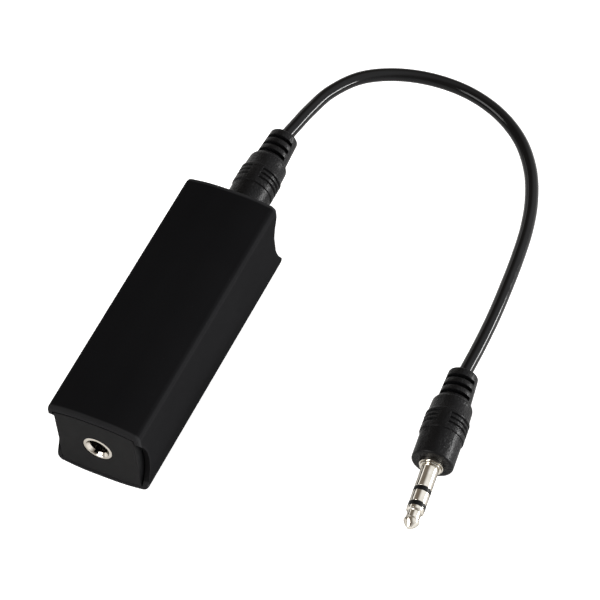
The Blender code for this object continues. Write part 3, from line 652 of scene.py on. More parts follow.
@dataclass(frozen=True)
class BandedFinish(Finish):
    """A stack of thin layers or turns: dark gaps at an even pitch along one axis."""

    pitch: float = 0.5
    along: Axis = Axis.Y
    gap: str = "#20201f"
    narrow: float = 0.75

    def relief(self, tree: NodeTree, spot: NodeSocket) -> NodeSocket:
        """Round-topped layers, from 0 in a gap to 1 on a layer.

        Args:
            tree: the material's node tree.
            spot: the object coordinates that patterns read.

        Returns:
            The layers' height.
        """
        station = add_node(tree, "SeparateXYZ", {0: spot}).outputs[self.along.value]
        turns = add_node(tree, "Math", {0: station, 1: math.tau / (self.pitch * MM)}, operation="MULTIPLY")
        wave = add_node(tree, "Math", {0: turns.outputs[0]}, operation="COSINE")
        shoulders = (-1.0, -1.0 + 2 * (1 - self.narrow))
        return add_node(tree, "MapRange", {"Value": wave.outputs[0], **limits(shoulders)}).outputs[0]

    def tint(self, tree: NodeTree, spot: NodeSocket) -> list[Coat]:
        """The layers' own tones, darker in the gaps."""
        gaps = add_node(tree, "Math", {0: 1.0, 1: self.relief(tree, spot)}, operation="SUBTRACT").outputs[0]
        return [*super().tint(tree, spot), (gaps, linear(self.gap))]


@dataclass(frozen=True)
class SolderMask(Finish):
    """Green lacquer over a glass-fibre board: glossy, with its weave and copper pours just showing."""

    weave: float = 0.6
    pour: float = 4.0
    pour_edge: float = 0.42
    copper: str = "#1f6a3a"

    def tint(self, tree: NodeTree, spot: NodeSocket) -> list[Coat]:
        """Lacquer that looks lighter where copper lies under it.

        Args:
            tree: the material's node tree.
            spot: the object coordinates that patterns read.

        Returns:
            The coats over the base colour.
        """
        cells = add_node(tree, "TexVoronoi", {"Vector": spot, "Scale": 1 / (self.pour * MM)},
                         distance="CHEBYCHEV")
        poured = add_node(tree, "Math", {0: cells.outputs["Distance"], 1: self.pour_edge},
                          operation="LESS_THAN").outputs[0]
        return [*super().tint(tree, spot), (poured, linear(self.copper))]

    def relief(self, tree: NodeTree, spot: NodeSocket) -> NodeSocket:
        """The glass weave under the lacquer."""
        weft, warp = (add_node(tree, "TexWave", {"Vector": spot, "Scale": WAVE_PITCH / (self.weave * MM)},
                               bands_direction=way).outputs["Fac"] for way in "XY")
        return add_node(tree, "Math", {0: weft, 1: warp}, operation="MULTIPLY").outputs[0]


# Spark-eroded ABS: a dull black that still lightens softly at a low angle, with a painted highlight along its
# lips, corners and arcs
CASE_ABS = EdgeSheenCase("moulded_abs_case", "#101011", "#0f0f10", 0.5, specular=0.005, patch=14.0,
                       rough_swing=0.02, grain=0.20, depth=0.003)
# The caps come from another tool: the same ABS with a slightly coarser, greyer grain
CAP_ABS = MouldedPlastic("moulded_abs_cap", "#0b0b0c", "#0a0a0b", 0.5, specular=0.052, patch=9.0,
                         rough_swing=0.02, grain=0.22, depth=0.004)
# Plasticised PVC: grain drawn at 0.4 mm, coarser than the real one, so that it still shows as sparkle
BOOT_PVC = SoftPvc("moulded_soft_pvc", "#0c0c0d", "#0a0a0b", 0.3, specular=0.03, patch=3.0, rough_swing=0.08,
                   grain=0.40, depth=0.34)
# Extruded PVC: glossy enough to draw the light out into a line along the cord
CORD_PVC = DrawnJacket("extruded_pvc_jacket", "#0e0e0f", "#0c0c0d", 0.13, specular=0.18, patch=5.0,
                       rough_swing=0.05, depth=0.004)
# Bright nickel on brass: neutral white with a warm cast in its reflections
NICKEL = TurnedPlate("nickel_plated_brass", "#dedad2", "#d2cdc2", 0.13, metallic=1.0, patch=2.0,
                     rough_swing=0.04, depth=0.0006)
# Nylon insulator: near black, dull
INSULATOR = MouldedPlastic("black_nylon_insulator", "#0b0b0b", "#090909", 0.4, specular=0.12, grain=0.12,
                           depth=0.003)
# Glass-filled nylon of the socket's body: a dull black that the fibres make blotchy
SOCKET_NYLON = MouldedPlastic("glass_filled_nylon", "#141414", "#1b1b1b", 0.5, patch=2.5, grain=0.10,
                              depth=0.008)
# Plain nylon of the winding's bobbin: a softer, greyer black
BOBBIN_NYLON = MouldedPlastic("bobbin_nylon", "#202020", "#191919", 0.5, patch=2.5, grain=0.12, depth=0.008)
# Tin over phosphor bronze: satin, with the warm metal just showing through
SPRING_BRONZE = TinnedStrip("tinned_phosphor_bronze", "#cfc6ae", "#bfb496", 0.3, metallic=1.0, patch=1.5,
                            depth=0.002)
# Tin over brass wire: a whiter satin
PIN_TIN = TinnedStrip("tinned_brass_pin", "#cfcfca", "#b9b9b2", 0.32, metallic=1.0, patch=0.8, depth=0.002)
# 0.35 mm silicon-steel laminations, stacked along Y
CORE_STEEL = BandedFinish("silicon_steel_laminations", "#9a9a9b", "#828284", 0.42, metallic=1.0, patch=3.0,
                          pitch=0.35, along=Axis.Y, gap="#3b3a38", depth=0.03)
# Enamelled wire: the real turns are 0.06 mm, drawn at 0.25 mm so that they show
COPPER_WIRE = BandedFinish("enamelled_copper_wire", "#b4622e", "#9c4f22", 0.28, metallic=1.0, patch=1.2,
                           pitch=0.25, along=Axis.Z, gap="#3c1d0d", depth=0.06)
# Solder mask on glass epoxy: a clear green gloss
BOARD = SolderMask("solder_mask_on_glass_epoxy", "#12482a", "#0f3e24", 0.25, patch=5.0, depth=0.01)


# Lead
@dataclass
class PatchLead:
    """The cord between the two plugs, on the same route as the part's own cord."""

    radius: float = 0.0014
    start: Point = (0.0, 0.0531, 0.010)
    route: tuple[Point, ...] = (
        (0.0006, 0.0565, 0.0099), (0.0015, 0.0615, 0.0097), (0.0031, 0.0682, 0.0089),
        (0.0068, 0.0749, 0.0077), (0.0128, 0.0796, 0.0063), (0.0201, 0.0823, 0.0049),
        (0.0280, 0.0829, 0.0035), (0.0355, 0.0810, 0.0024), (0.0420, 0.0768, 0.0017),
        (0.0470, 0.0706, 0.0015), (0.0504, 0.0634, 0.0017), (0.0526, 0.0559, 0.0022),
        (0.0540, 0.0481, 0.0028), (0.0550, 0.0403, 0.0034), (0.0558, 0.0324, 0.00395),
        (0.0562, 0.0245, 0.00435))
    end: Point = (0.0562512, 0.0168688, 0.00451)
    measuring_steps: int = 20
    round_steps: int = 10
    span_steps: int = 16

    def points(self) -> list[Vector]:
        """The route's points, with the two ends drawn up to the plugs."""
        return [Vector(point) for point in (self.start, *self.route, self.end)]

    def length(self) -> float:
        """The cord's length along its smooth curve.

        Returns:
            Metres from one plug's end to the other's.
        """
        fine = []
        knots = self.points()
        for k, (a, b) in enumerate(zip(knots, knots[1:])):
            span = (b - a).length
            near, far = self.slope(knots, k), self.slope(knots, k + 1)
            for step in range(self.measuring_steps):
                u = step / self.measuring_steps
                fine.append((2 * u ** 3 - 3 * u ** 2 + 1) * a + (u ** 3 - 2 * u ** 2 + u) * span * near
                            + (3 * u ** 2 - 2 * u ** 3) * b + (u ** 3 - u ** 2) * span * far)
        fine.append(knots[-1])
        return sum((b - a).length for a, b in zip(fine, fine[1:]))

    @staticmethod
    def slope(knots: Sequence[Vector], k: int) -> Vector:
        """The curve's direction at a point: from its neighbour before to its neighbour after.

        Args:
            knots: the route's points.
            k: the point's number.

        Returns:
            The direction, about one metre long.
        """
        before, after = max(k - 1, 0), min(k + 1, len(knots) - 1)
        run = sum((knots[j + 1] - knots[j]).length for j in range(before, after))
        return (knots[after] - knots[before]) / run

    def build(self) -> Object:
        """Lays the cord as one smooth open spline.

        Returns:
            The cord.
        """
        knots = self.points()
        curve = bpy.data.curves.new("patch_lead", "CURVE")
        curve.dimensions = "3D"
        curve.bevel_depth = self.radius
        curve.bevel_resolution = self.round_steps
        curve.resolution_u = self.span_steps
        curve.use_fill_caps = True
        spline = curve.splines.new("BEZIER")
        spline.bezier_points.add(len(knots) - 1)
        for k, (bend, spot) in enumerate(zip(spline.bezier_points, knots)):
            slope = self.slope(knots, k)
            back = (spot - knots[k - 1]).length if k else (knots[1] - spot).length
            ahead = (knots[k + 1] - spot).length if k + 1 < len(knots) else back
            bend.handle_left_type = bend.handle_right_type = "FREE"
            bend.co = spot
            bend.handle_left = spot - slope * back / 3
            bend.handle_right = spot + slope * ahead / 3
        cord = bpy.data.objects.new("patch_lead", curve)
        bpy.context.scene.collection.objects.link(cord)
        curve.materials.append(CORD_PVC.make())
        hand_over(cord, "lead_cord", "cord_pvc")
        return cord


# Case
@dataclass(frozen=True)
class CaseSection:
    """The case's section: a square with round corners, whose top and base are slightly crowned."""

    width: float = 0.0200
    height: float = 0.0200
    length: float = 0.0604
    wall: float = 0.0011
    crown: float = 0.00075
    flat: float = 0.0020
    corner: float = 0.0013
    least_corner: float = 0.0002
    corner_steps: int = 8
    stations: int = 9

    def bar(self, name: str, inset: float, y0: float, y1: float) -> Workpiece:
        """A solid bar of the section, some way in from its outside.

        Args:
            name: the piece's name.
            inset: how far the bar's outline lies inside the case's.
            y0: its lower end along Y.
            y1: its upper end.

        Returns:
            The bar.
        """
        length, middle = y1 - y0, self.height / 2
        radius = max(self.corner - inset, self.least_corner)
        half_x = self.width / 2 - inset - radius
        size = (self.width - 2 * inset, length, self.height - 2 * inset - 2 * self.crown)
        piece = Workpiece.add(name, bpy.ops.mesh.primitive_cube_add, size=1.0,
                              location=(0, (y0 + y1) / 2, middle), scale=size)
        piece.pick(Pick.EDGES, lambda edge: abs(edge.verts[0].co.y - edge.verts[1].co.y) > length / 2)
        bpy.ops.mesh.bevel(offset=radius, segments=self.corner_steps, affect="EDGES")
        lines = [side * (half_x - (half_x - self.flat) * k / self.stations)
                 for k in range(1, self.stations + 1) for side in (-1, 1)]
        for x in lines:
            piece.all()
            bpy.ops.mesh.bisect(plane_co=(x, 0, 0), plane_no=(1, 0, 0))
        for x in lines:
            rise = self.crown * (1 - ((abs(x) - self.flat) / (half_x - self.flat)) ** 2)
            for way in (-1, 1):
                piece.pick(Pick.VERTS,
                           lambda vert: abs(vert.co.x - x) < TOUCH and way * (vert.co.z - middle) > 0)
                bpy.ops.transform.translate(value=(0, 0, way * rise))
        return piece

    def outer(self, spot: Vector) -> bool:
        """Tells whether a point of the tube's wall is nearer to the outside than to the bore.

        Args:
            spot: the point.

        Returns:
            True near the outside.
        """
        x = min(abs(spot.x), self.width / 2)
        half_x = self.width / 2 - self.corner
        rise = self.crown * (1 - max(0.0, (min(x, half_x) - self.flat) / (half_x - self.flat)) ** 2)
        top = self.height / 2 - self.crown + rise
        depth = min(self.width / 2 - x, top - abs(spot.z - self.height / 2))
        return depth < self.wall / 2

    def beside(self, spot: Vector) -> bool:
        """Tells whether a point lies in a side wall, clear of its corners."""
        return (abs(spot.x) > self.width / 2 - self.wall * 1.1
                and abs(spot.z - self.height / 2) < self.height / 2 - self.wall)


@dataclass
class CaseSleeve:
    """The extruded-looking tube, with an arc out of both side walls at each end."""

    section: CaseSection = field(default_factory=CaseSection)
    lip_reach: float = 0.0010
    lip_drop: float = 0.00035
    lip_steps: int = 10
    inner_round: float = 0.0004
    scallop_round: float = 0.00025
    scallop_radius: float = 0.0118
    scallop_depth: float = 0.0025
    scallop_drop: float = 0.0006
    scallop_corner: float = 0.0034
    scallop_steps: int = 40
    scallop_corner_steps: int = 14

    def scallop(self) -> Workpiece:
        """A bar that cuts the rear arc out of both side walls, with round corners where it runs out.

        Returns:
            The cutter.
        """
        inward = self.scallop_radius - self.scallop_depth
        corner = inward + self.scallop_corner
        rise = math.sqrt((self.scallop_radius + self.scallop_corner) ** 2 - corner ** 2)
        meeting = math.atan2(rise, corner)
        bends = [meeting * k / self.scallop_corner_steps for k in range(self.scallop_corner_steps + 1)]
        sweep = [meeting * (1 - k / self.scallop_steps) for k in range(1, self.scallop_steps + 1)]
        upper = [(inward - self.section.wall, rise),
                 *((corner - self.scallop_corner * math.cos(a), rise - self.scallop_corner * math.sin(a))
                   for a in bends),
                 *((self.scallop_radius * math.cos(a), self.scallop_radius * math.sin(a)) for a in sweep)]
        outline = upper + [(reach, -up) for reach, up in reversed(upper[:-1])]
        centre = Vector((0, self.section.length / 2 + inward, self.section.height / 2 - self.scallop_drop))
        points = [Vector((-self.section.width, centre.y - reach, centre.z + up)) for reach, up in outline]
        bar = Workpiece.draw("scallop", points)
        bpy.ops.mesh.edge_face_add()
        bpy.ops.mesh.extrude_region_move(TRANSFORM_OT_translate={"value": (2 * self.section.width, 0, 0)})
        bar.face_outwards()
        return bar

    def draw_in_lips(self, bar: Workpiece) -> None:
        """Draws both ends of the solid bar in by a long, shallow rounding.

        Args:
            bar: the bar before it is hollowed.
        """
        half, middle = self.section.length / 2, self.section.height / 2
        rings = [(end * (half - self.lip_reach * (1 - math.sin(a))), self.lip_drop * (1 - math.cos(a)))
                 for a in quarter(self.lip_steps) for end in (-1, 1)]
        for station, drop in rings[:-2]:
            bar.all()
            bpy.ops.mesh.bisect(plane_co=(0, station, 0), plane_no=(0, 1, 0))
        for station, drop in rings[2:]:
            bar.pick(Pick.VERTS, lambda vert: abs(vert.co.y - station) < TOUCH)
            scale = 1 - drop / middle
            bpy.ops.transform.resize(value=(scale, 1, scale), center_override=(0, station, middle))

    def near_end(self, edge: BMEdge) -> bool:
        """Tells whether an edge lies as near to an end as the arcs do."""
        reach = self.section.length / 2 - self.scallop_depth - MM / 10
        return min(abs(vert.co.y) for vert in edge.verts) > reach

    def on_arc(self, edge: BMEdge) -> bool:
        """Tells whether an edge runs along the cut of an arc."""
        return self.near_end(edge) and self.section.beside(middle_of(edge))

    def on_bore(self, edge: BMEdge) -> bool:
        """Tells whether an edge runs round the bore's mouth, between the arcs."""
        return (self.near_end(edge) and not self.section.outer(middle_of(edge))
                and not self.section.beside(middle_of(edge)))

    def build(self) -> Object:
        """Models the sleeve.

        Returns:
            The finished sleeve.
        """
        half = self.section.length / 2
        sleeve = self.section.bar("case_sleeve", 0.0, -half, half)
        self.draw_in_lips(sleeve)
        sleeve.pick(Pick.FACES, lambda face: abs(face.normal.y) > SQUARE_ON)
        bpy.ops.mesh.inset(thickness=self.section.wall - self.lip_drop, use_even_offset=True)
        bpy.ops.mesh.delete(type="FACE")
        sleeve.pick(Pick.EDGES, lambda edge: len(edge.link_faces) == 1)
        bpy.ops.mesh.bridge_edge_loops()
        sleeve.face_outwards()
        rear_arc = self.scallop()
        sleeve.cut(rear_arc.copy((0.0, 0.0, 0.0), 180.0, "Z"), rear_arc)
        sleeve.round_edges(self.inner_round, segments=4, least=50.0, test=self.on_bore)
        sleeve.round_edges(self.scallop_round, segments=3, least=50.0, test=self.on_arc)
        piece = sleeve.finish(CASE_ABS.make(), smooth=30.0, flats=True)
        hand_over(piece, "sleeve", "case_plastic")
        return piece


@dataclass
class EndCap:
    """A flat plate that closes the sleeve's front end, with a skirt behind it and the socket's hole."""

    section: CaseSection = field(default_factory=CaseSection)
    setback: float = 0.00008
    depth: float = 0.0046
    face: float = 0.0017
    skirt: float = 0.0012
    edge_round: float = 0.0001
    hole_round: float = 0.00003
    gap: float = 0.00025
    settle: float = 0.0002
    socket_height: float = 0.0100
    hole_radius: float = 0.00321
    hole_steps: int = 128

    def in_face(self, edge: BMEdge) -> bool:
        """Tells whether an edge lies in the cap's front face."""
        return all(abs(vert.co.y - self.setback + self.section.length / 2) < TOUCH for vert in edge.verts)

    def at_hole(self, edge: BMEdge) -> bool:
        """Tells whether an edge lies at the hole's rim."""
        spot = edge.verts[0].co
        return math.hypot(spot.x, spot.z - self.socket_height) < self.hole_radius * 1.05

    def build(self, material: Material) -> Object:
        """Models the cap.

        Args:
            material: its finish.

        Returns:
            The finished cap.
        """
        front = self.setback - self.section.length / 2
        cap = self.section.bar("front_cap", self.section.wall + self.gap, front, front + self.depth)
        cap.pick(Pick.FACES, lambda face: face.normal.y > SQUARE_ON)
        bpy.ops.mesh.inset(thickness=self.skirt, use_even_offset=True)
        bpy.ops.mesh.extrude_region_move(TRANSFORM_OT_translate={"value": (0, self.face - self.depth, 0)})
        cap.all()
        bpy.ops.transform.translate(value=(0, 0, -self.settle))
        cap.cut(Workpiece.add("hole", bpy.ops.mesh.primitive_cylinder_add, vertices=self.hole_steps,
                              radius=self.hole_radius, depth=self.face * 4,
                              location=(0, front, self.socket_height), rotation=(math.radians(90), 0, 0)))
        cap.round_edges(self.edge_round, segments=4, least=40.0,
                        test=lambda edge: self.in_face(edge) and not self.at_hole(edge))
        cap.round_edges(self.hole_round, segments=2, least=40.0,
                        test=lambda edge: self.in_face(edge) and self.at_hole(edge))
        return cap.finish(material, smooth=30.0, flats=True)


@dataclass
class SocketRing:
    """The nickel ring of the front socket, with its countersunk mouth, barrel and keyway."""

    face_y: float = 0.03005
    height: float = 0.0100
    radius: float = 0.003125
    rim: float = 0.0001
    mouth: float = 0.00252
    bore: float = 0.00195
    sink_foot: tuple[Span, Span] = ((0.00062, 0.0), (0.00050, 0.00006))
    sink_top: tuple[Span, Span] = ((0.00016, 0.00012), (0.00006, 0.00004))
    barrel: float = 0.00272
    shoulder: float = 0.00205
    length: float = 0.00505
    keyway: float = 0.0009
    keyway_depth: float = 0.0004
    keyway_angle: float = 20.0
    steps: int = 128

    def build(self, material: Material) -> Object:
        """Models the ring.

        Args:
            material: its finish.

        Returns:
            The finished ring.
        """
        outside = [(self.rim * (1 - math.sin(a)), self.radius - self.rim * (1 - math.cos(a)))
                   for a in reversed(quarter(4))]
        countersink = [*((station, self.bore + out) for station, out in self.sink_foot),
                       *((station, self.mouth - inwards) for station, inwards in self.sink_top)]
        profile = [(0.0, self.mouth), *outside, (self.shoulder, self.radius), (self.shoulder, self.barrel),
                   (self.length, self.barrel), (self.length, self.bore), *countersink]
        ring = turned("front_socket_ring", profile, self.steps)
        slot = Workpiece.add("keyway", bpy.ops.mesh.primitive_cube_add, size=1.0,
                             location=(0, self.length / 2, -self.bore),
                             scale=(self.keyway, self.length * 1.2, 2 * self.keyway_depth))
        slot.all()
        bpy.ops.transform.rotate(value=-math.radians(self.keyway_angle), orient_axis="Y",
                                 center_override=(0, 0, 0))
        ring.cut(slot)
        piece = ring.finish(material, smooth=25.0)
        place(piece, (0.0, -self.face_y, self.height), 0.0)
        return piece


@dataclass
class CaseEnds:
    """Both closed ends: a cap and a socket ring at the front, and their copies turned round to the rear."""

    cap: EndCap = field(default_factory=EndCap)
    ring: SocketRing = field(default_factory=SocketRing)

    def build(self, plastic: Material, nickel: Material) -> list[Object]:
        """Models the front end and copies it to the rear.

        Args:
            plastic: the caps' finish.
            nickel: the rings' finish.

        Returns:
            The two caps and the two rings.
        """
        made = []
        for piece, ending, node, slot in (
                (self.cap.build(plastic), "cap", "end_cap", "cap_plastic"),
                (self.ring.build(nickel), "socket_ring", "jack_bush", "nickel_plate")):
            twin = copied(piece, f"rear_{ending}")
            place(twin, (0.0, 0.0, 0.0), 180.0)
            hand_over(piece, f"front_{node}", slot)
            hand_over(twin, f"rear_{node}", slot)
            made += [piece, twin]
        return made


# Plugs: +Y runs from the pin to the cord, and Y = 0 is the collar's front plane
@dataclass
class PlugBoot:
    """The moulded grip: front face, raised grip band, shoulder, and a strain relief with slots."""

    front: float = 0.00115
    front_radius: float = 0.00426
    edge: float = 0.00045
    seat: float = 0.00252
    seat_depth: float = 0.0008
    bore: float = 0.0019
    bore_end: float = 0.0063
    band_start: float = 0.0073
    band_end: float = 0.0121
    band_radius: float = 0.0045
    band_rise: float = 0.5
    band_fall: float = 0.45
    band_round: float = 0.00014
    groove_start: float = 0.00885
    groove_pitch: float = 0.00105
    groove_width: float = 0.00055
    groove_slope: Span = (0.8, 0.3)
    groove_depth: float = 0.0004
    groove_gap: float = 15.0
    shoulder_start: float = 0.0145
    shoulder_end: float = 0.0156
    shoulder_radius: float = 0.00415
    relief_start_radius: float = 0.0034
    relief_end_radius: float = 0.00305
    relief_end: float = 0.0226
    relief_edge: float = 0.0004
    relief_round: float = 0.00007
    slot_start: float = 0.0161
    slot_pitch: float = 0.00195
    slot_width: float = 0.00085
    slot_angle: float = 65.0
    slot_floor: float = 0.0019
    cord_hole: float = 0.00143
    cord_hole_depth: float = 0.0006
    rows: int = 3
    steps: int = 108
    cutter_steps: int = 40

    def profile(self) -> list[Span]:
        """The moulding's turned outline, from the bore round the outside to the cord's hole.

        Returns:
            Its (station, radius) points.
        """
        step = self.band_radius - self.front_radius
        drop = self.shoulder_radius - self.relief_start_radius
        front = [(self.front + self.edge * (1 - math.cos(a)),
                  self.front_radius - self.edge * (1 - math.sin(a))) for a in quarter(6)]
        rise = [(self.band_start + step * (1 - math.cos(a)) * self.band_rise,
                 self.front_radius + step * math.sin(a)) for a in quarter(4)]
        fall = [(self.band_end - 2 * step, self.band_radius),
                (self.band_end - step, self.band_radius - step * self.band_fall),
                (self.band_end, self.front_radius)]
        shoulder = [(self.shoulder_start + (self.shoulder_end - self.shoulder_start) * math.sin(a),
                     self.shoulder_radius - drop * (1 - math.cos(a))) for a in quarter(8)]
        end = [(self.relief_end - self.relief_edge * (1 - math.sin(a)),
                self.relief_end_radius - self.relief_edge * (1 - math.cos(a))) for a in quarter(5)]
        seat = self.front + self.seat_depth
        hole = self.relief_end - self.cord_hole_depth
        return [(self.bore_end, 0.0), (self.bore_end, self.bore), (seat, self.bore), (seat, self.seat),
                (self.front, self.seat), *front, *rise, *fall, *shoulder, *end,
                (self.relief_end, self.cord_hole), (hole, self.cord_hole), (hole, 0.0)]

    def in_rows(self, cutter: Workpiece, pitch: float) -> list[Workpiece]:
        """A cutter, and its copies along the boot and on its other side."""
        return [cutter, *(cutter.copy((0.0, pitch * number, 0.0), turn, "Y")
                          for number in range(self.rows) for turn in (0.0, 180.0) if number or turn)]

    def grooves(self) -> list[Workpiece]:
        """Ring cutters for both flanks of the grip band, which stop short of its top and bottom.

        Returns:
            The cutters.
        """
        wide, narrow = (self.groove_width * share for share in self.groove_slope)
        above, below = self.band_radius + self.groove_depth, self.band_radius - self.groove_depth
        outline = [(self.groove_start + off, radius) for off, radius in (
            (-wide, above), (-narrow, below), (narrow, below), (wide, above))]
        groove = turned("groove", outline, self.cutter_steps, self.groove_gap, 180.0 - 2 * self.groove_gap)
        return self.in_rows(groove, self.groove_pitch)

    def slots(self) -> list[Workpiece]:
        """Cutters for the flexing slots through the strain relief's top and bottom.

        Returns:
            The cutters.
        """
        end = self.slot_start + self.slot_width
        outline = [(self.slot_start, self.slot_floor), (self.slot_start, self.shoulder_radius),
                   (end, self.shoulder_radius), (end, self.slot_floor)]
        slot = turned("slot", outline, self.cutter_steps, -self.slot_angle, 2 * self.slot_angle)
        return self.in_rows(slot, self.slot_pitch)

    def clear_of_core(self, edge: BMEdge) -> bool:
        """Tells whether an edge lies outside the core that the slots leave."""
        return all(math.hypot(vert.co.x, vert.co.z) > self.slot_floor * 1.1 for vert in edge.verts)

    def on_relief(self, edge: BMEdge) -> bool:
        """Tells whether an edge lies on the strain relief."""
        return self.clear_of_core(edge) and min(vert.co.y for vert in edge.verts) > self.slot_start - MM / 10

    def on_band(self, edge: BMEdge) -> bool:
        """Tells whether an edge lies on the grip band."""
        return self.clear_of_core(edge) and self.band_start < edge.verts[0].co.y < self.band_end

    def build(self, name: str, material: Material) -> Object:
        """Models one boot at the origin.

        Args:
            name: the piece's name.
            material: its finish.

        Returns:
            The finished boot.
        """
        boot = turned(name, self.profile(), self.steps)
        boot.cut(*self.grooves(), *self.slots())
        boot.round_edges(self.relief_round, segments=2, least=50.0, test=self.on_relief)
        boot.round_edges(self.band_round, segments=3, least=40.0, test=self.on_band)
        return boot.finish(material, smooth=35.0)


@dataclass
class PlugPin:
    """The five stacked pieces of a three-pole pin, 14 mm long and 3.5 mm across."""

    length: float = 0.0140
    radius: float = 0.00175
    soft: float = 0.00005
    sleeve: float = 0.00495
    insulator: float = 0.0010
    insulator_radius: float = 0.00178
    insulator_gap: float = 0.00002
    ring: float = 0.0025
    rod: float = 0.00055
    bore: float = 0.00085
    collar_front: float = 0.0022
    collar_rear: float = 0.00245
    collar_step: float = 0.00045
    collar_end: float = 0.00165
    relief: float = 0.0001
    relief_run: float = 0.00014
    tail: float = 0.0016
    tail_end: float = 0.0060
    rod_end: float = 0.0057
    flange: float = 0.00065
    flange_foot: Span = (0.000975, 0.000845)
    neck: float = 0.00134
    shoulder: float = 0.00045
    head: float = 0.00158
    head_start: float = 0.0124
    bow: Span = (0.00085, 0.00113)
    tip_radius: float = 0.0006
    tip_round: float = 0.00018
    nose_power: float = 0.9
    steps: int = 96

    def band(self, start: float, end: float, radius: float) -> Profile:
        """A plain ring's profile, with its outer edges just broken."""
        return [(start, self.bore), (start, radius - self.soft), (start - self.soft, radius),
                (end + self.soft, radius), (end, radius - self.soft), (end, self.bore)]

    def collar(self) -> Profile:
        """The sleeve contact's profile: the pin's first pole, and the stepped collar behind it.

        Returns:
            Its (station, radius) points.
        """
        soft, relief, step = self.soft, self.relief, self.collar_step
        return [(-self.sleeve, self.bore), (-self.sleeve, self.radius - soft),
                (-self.sleeve + soft, self.radius), (-self.relief_run, self.radius),
                (-relief, self.radius - relief), (0.0, self.radius - relief),
                (0.0, self.collar_front - soft), (soft, self.collar_front),
                (step - self.relief_run, self.collar_front), (step - relief, self.collar_front - relief),
                (step, self.collar_front - relief), (step, self.collar_rear - soft),
                (step + soft, self.collar_rear), (self.collar_end, self.collar_rear),
                (self.collar_end, self.tail), (self.tail_end, self.tail), (self.tail_end, self.bore)]

    def tip(self, start: float) -> Profile:
        """The tip contact's profile: bowed nose, head, neck, flange, and the rod inside the pin.

        Args:
            start: the station where the contact leaves the insulator.

        Returns:
            Its (station, radius) points.
        """
        soft, head = self.soft, -self.head_start
        nose = [(-self.length + self.tip_round * (1 - math.sin(a)),
                 self.tip_radius * math.cos(a) ** self.nose_power) for a in reversed(quarter(5))]
        return [(-self.length, 0.0), *nose[1:], (head - self.bow[0], self.bow[1]),
                (head - self.tip_round, self.head - soft), (head, self.head),
                (head + soft * 3, self.head - soft), (head + self.shoulder, self.neck + soft),
                (head + self.shoulder + soft * 2, self.neck), (start - self.flange_foot[0], self.neck),
                (start - self.flange_foot[1], self.neck + soft * 2),
                (start - self.flange - soft, self.radius - soft), (start - self.flange, self.radius),
                (start - soft, self.radius), (start, self.radius - soft), (start, self.rod),
                (self.rod_end, self.rod), (self.rod_end, 0.0)]

    def sections(self) -> dict[str, Profile]:
        """Each piece's turned profile, by the ending of its name.

        Returns:
            The five profiles, from the collar to the tip.
        """
        gap = self.insulator_gap
        ring_start = -self.sleeve - self.insulator
        ring_end = ring_start - self.ring
        tip = ring_end - self.insulator
        return {"collar_contact": self.collar(),
                "rear_spacer": self.band(-self.sleeve - gap, ring_start + gap, self.insulator_radius),
                "ring_contact": self.band(ring_start, ring_end, self.radius),
                "front_spacer": self.band(ring_end - gap, tip + gap, self.insulator_radius),
                "tip_contact": self.tip(tip)}


@dataclass
class PlugPattern:
    """One plug modelled at the origin: its boot over the five pieces of its pin."""

    boot: PlugBoot = field(default_factory=PlugBoot)
    pin: PlugPin = field(default_factory=PlugPin)
    pieces: dict[str, Object] = field(default_factory=dict)

    def build(self, pvc: Material, nickel: Material, nylon: Material) -> None:
        """Models the pieces.

        Args:
            pvc: the boot's finish.
            nickel: the contacts' finish.
            nylon: the insulators' finish.
        """
        self.pieces["boot"] = self.boot.build("pattern_boot", pvc)
        for ending, profile in self.pin.sections().items():
            piece = turned(f"pattern_{ending}", profile, self.pin.steps)
            self.pieces[ending] = piece.finish(nylon if "spacer" in ending else nickel, smooth=25.0)

    def discard(self) -> None:
        """Throws the pattern away once every plug is made."""
        for piece in self.pieces.values():
            bpy.data.meshes.remove(piece.data)


@dataclass
class Plug:
    """One plug: copies of the pattern's pieces, set in place."""

    label: str
    location: Point
    turn: float
    nodes: tuple[tuple[str, str, str, str], ...] = (
        ("boot", "boot", "moulding", "moulding_pvc"),
        ("collar_contact", "collar_contact_turned", "sleeve_contact", "nickel_plate"),
        ("rear_spacer", "rear_spacer_turned", "rear_insulator", "insulator_plastic"),
        ("ring_contact", "ring_contact_turned", "ring_contact", "nickel_plate"),
        ("front_spacer", "front_spacer_turned", "front_insulator", "insulator_plastic"),
        ("tip_contact", "tip_contact_turned", "tip_contact", "nickel_plate"))

    def build(self, pattern: PlugPattern) -> list[Object]:
        """Copies the pattern's pieces and sets them in place.

        Args:
            pattern: the plug at the origin.

        Returns:
            The boot and the pin's pieces.
        """
        made = []
        for source, ending, node, slot in self.nodes:
            piece = copied(pattern.pieces[source], f"{self.label}_plug_{ending}")
            place(piece, self.location, self.turn)
            hand_over(piece, f"{self.label}_plug_{node}", slot)
            made.append(piece)
        return made


# Works inside the case
@dataclass(frozen=True)
class InnerWorks:
    """The part's own solids inside the case, which keep their shape and take a fitting finish."""

    wiring: tuple[tuple[str, Finish], ...] = (
        ("circuit_board", BOARD), ("jack_housing", SOCKET_NYLON), ("jack_tip_contact", SPRING_BRONZE),
        ("jack_ring_contact", SPRING_BRONZE), ("jack_ground_lug", SPRING_BRONZE),
        ("transformer_core", CORE_STEEL), ("transformer_bobbin", BOBBIN_NYLON),
        ("transformer_winding", COPPER_WIRE), ("transformer_pin", PIN_TIN))

    def dress(self, nodes: dict[str, Object]) -> int:
        """Gives each inner solid its material.

        Args:
            nodes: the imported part's solids by name.

        Returns:
            How many solids were dressed.
        """
        made = {finish.name: finish.make() for word, finish in self.wiring}
        dressed = [(node, made[finish.name]) for name, node in nodes.items()
                   for word, finish in self.wiring if word in name]
        for node, material in dressed:
            node.data.materials.clear()
            node.data.materials.append(material)
        return len(dressed)


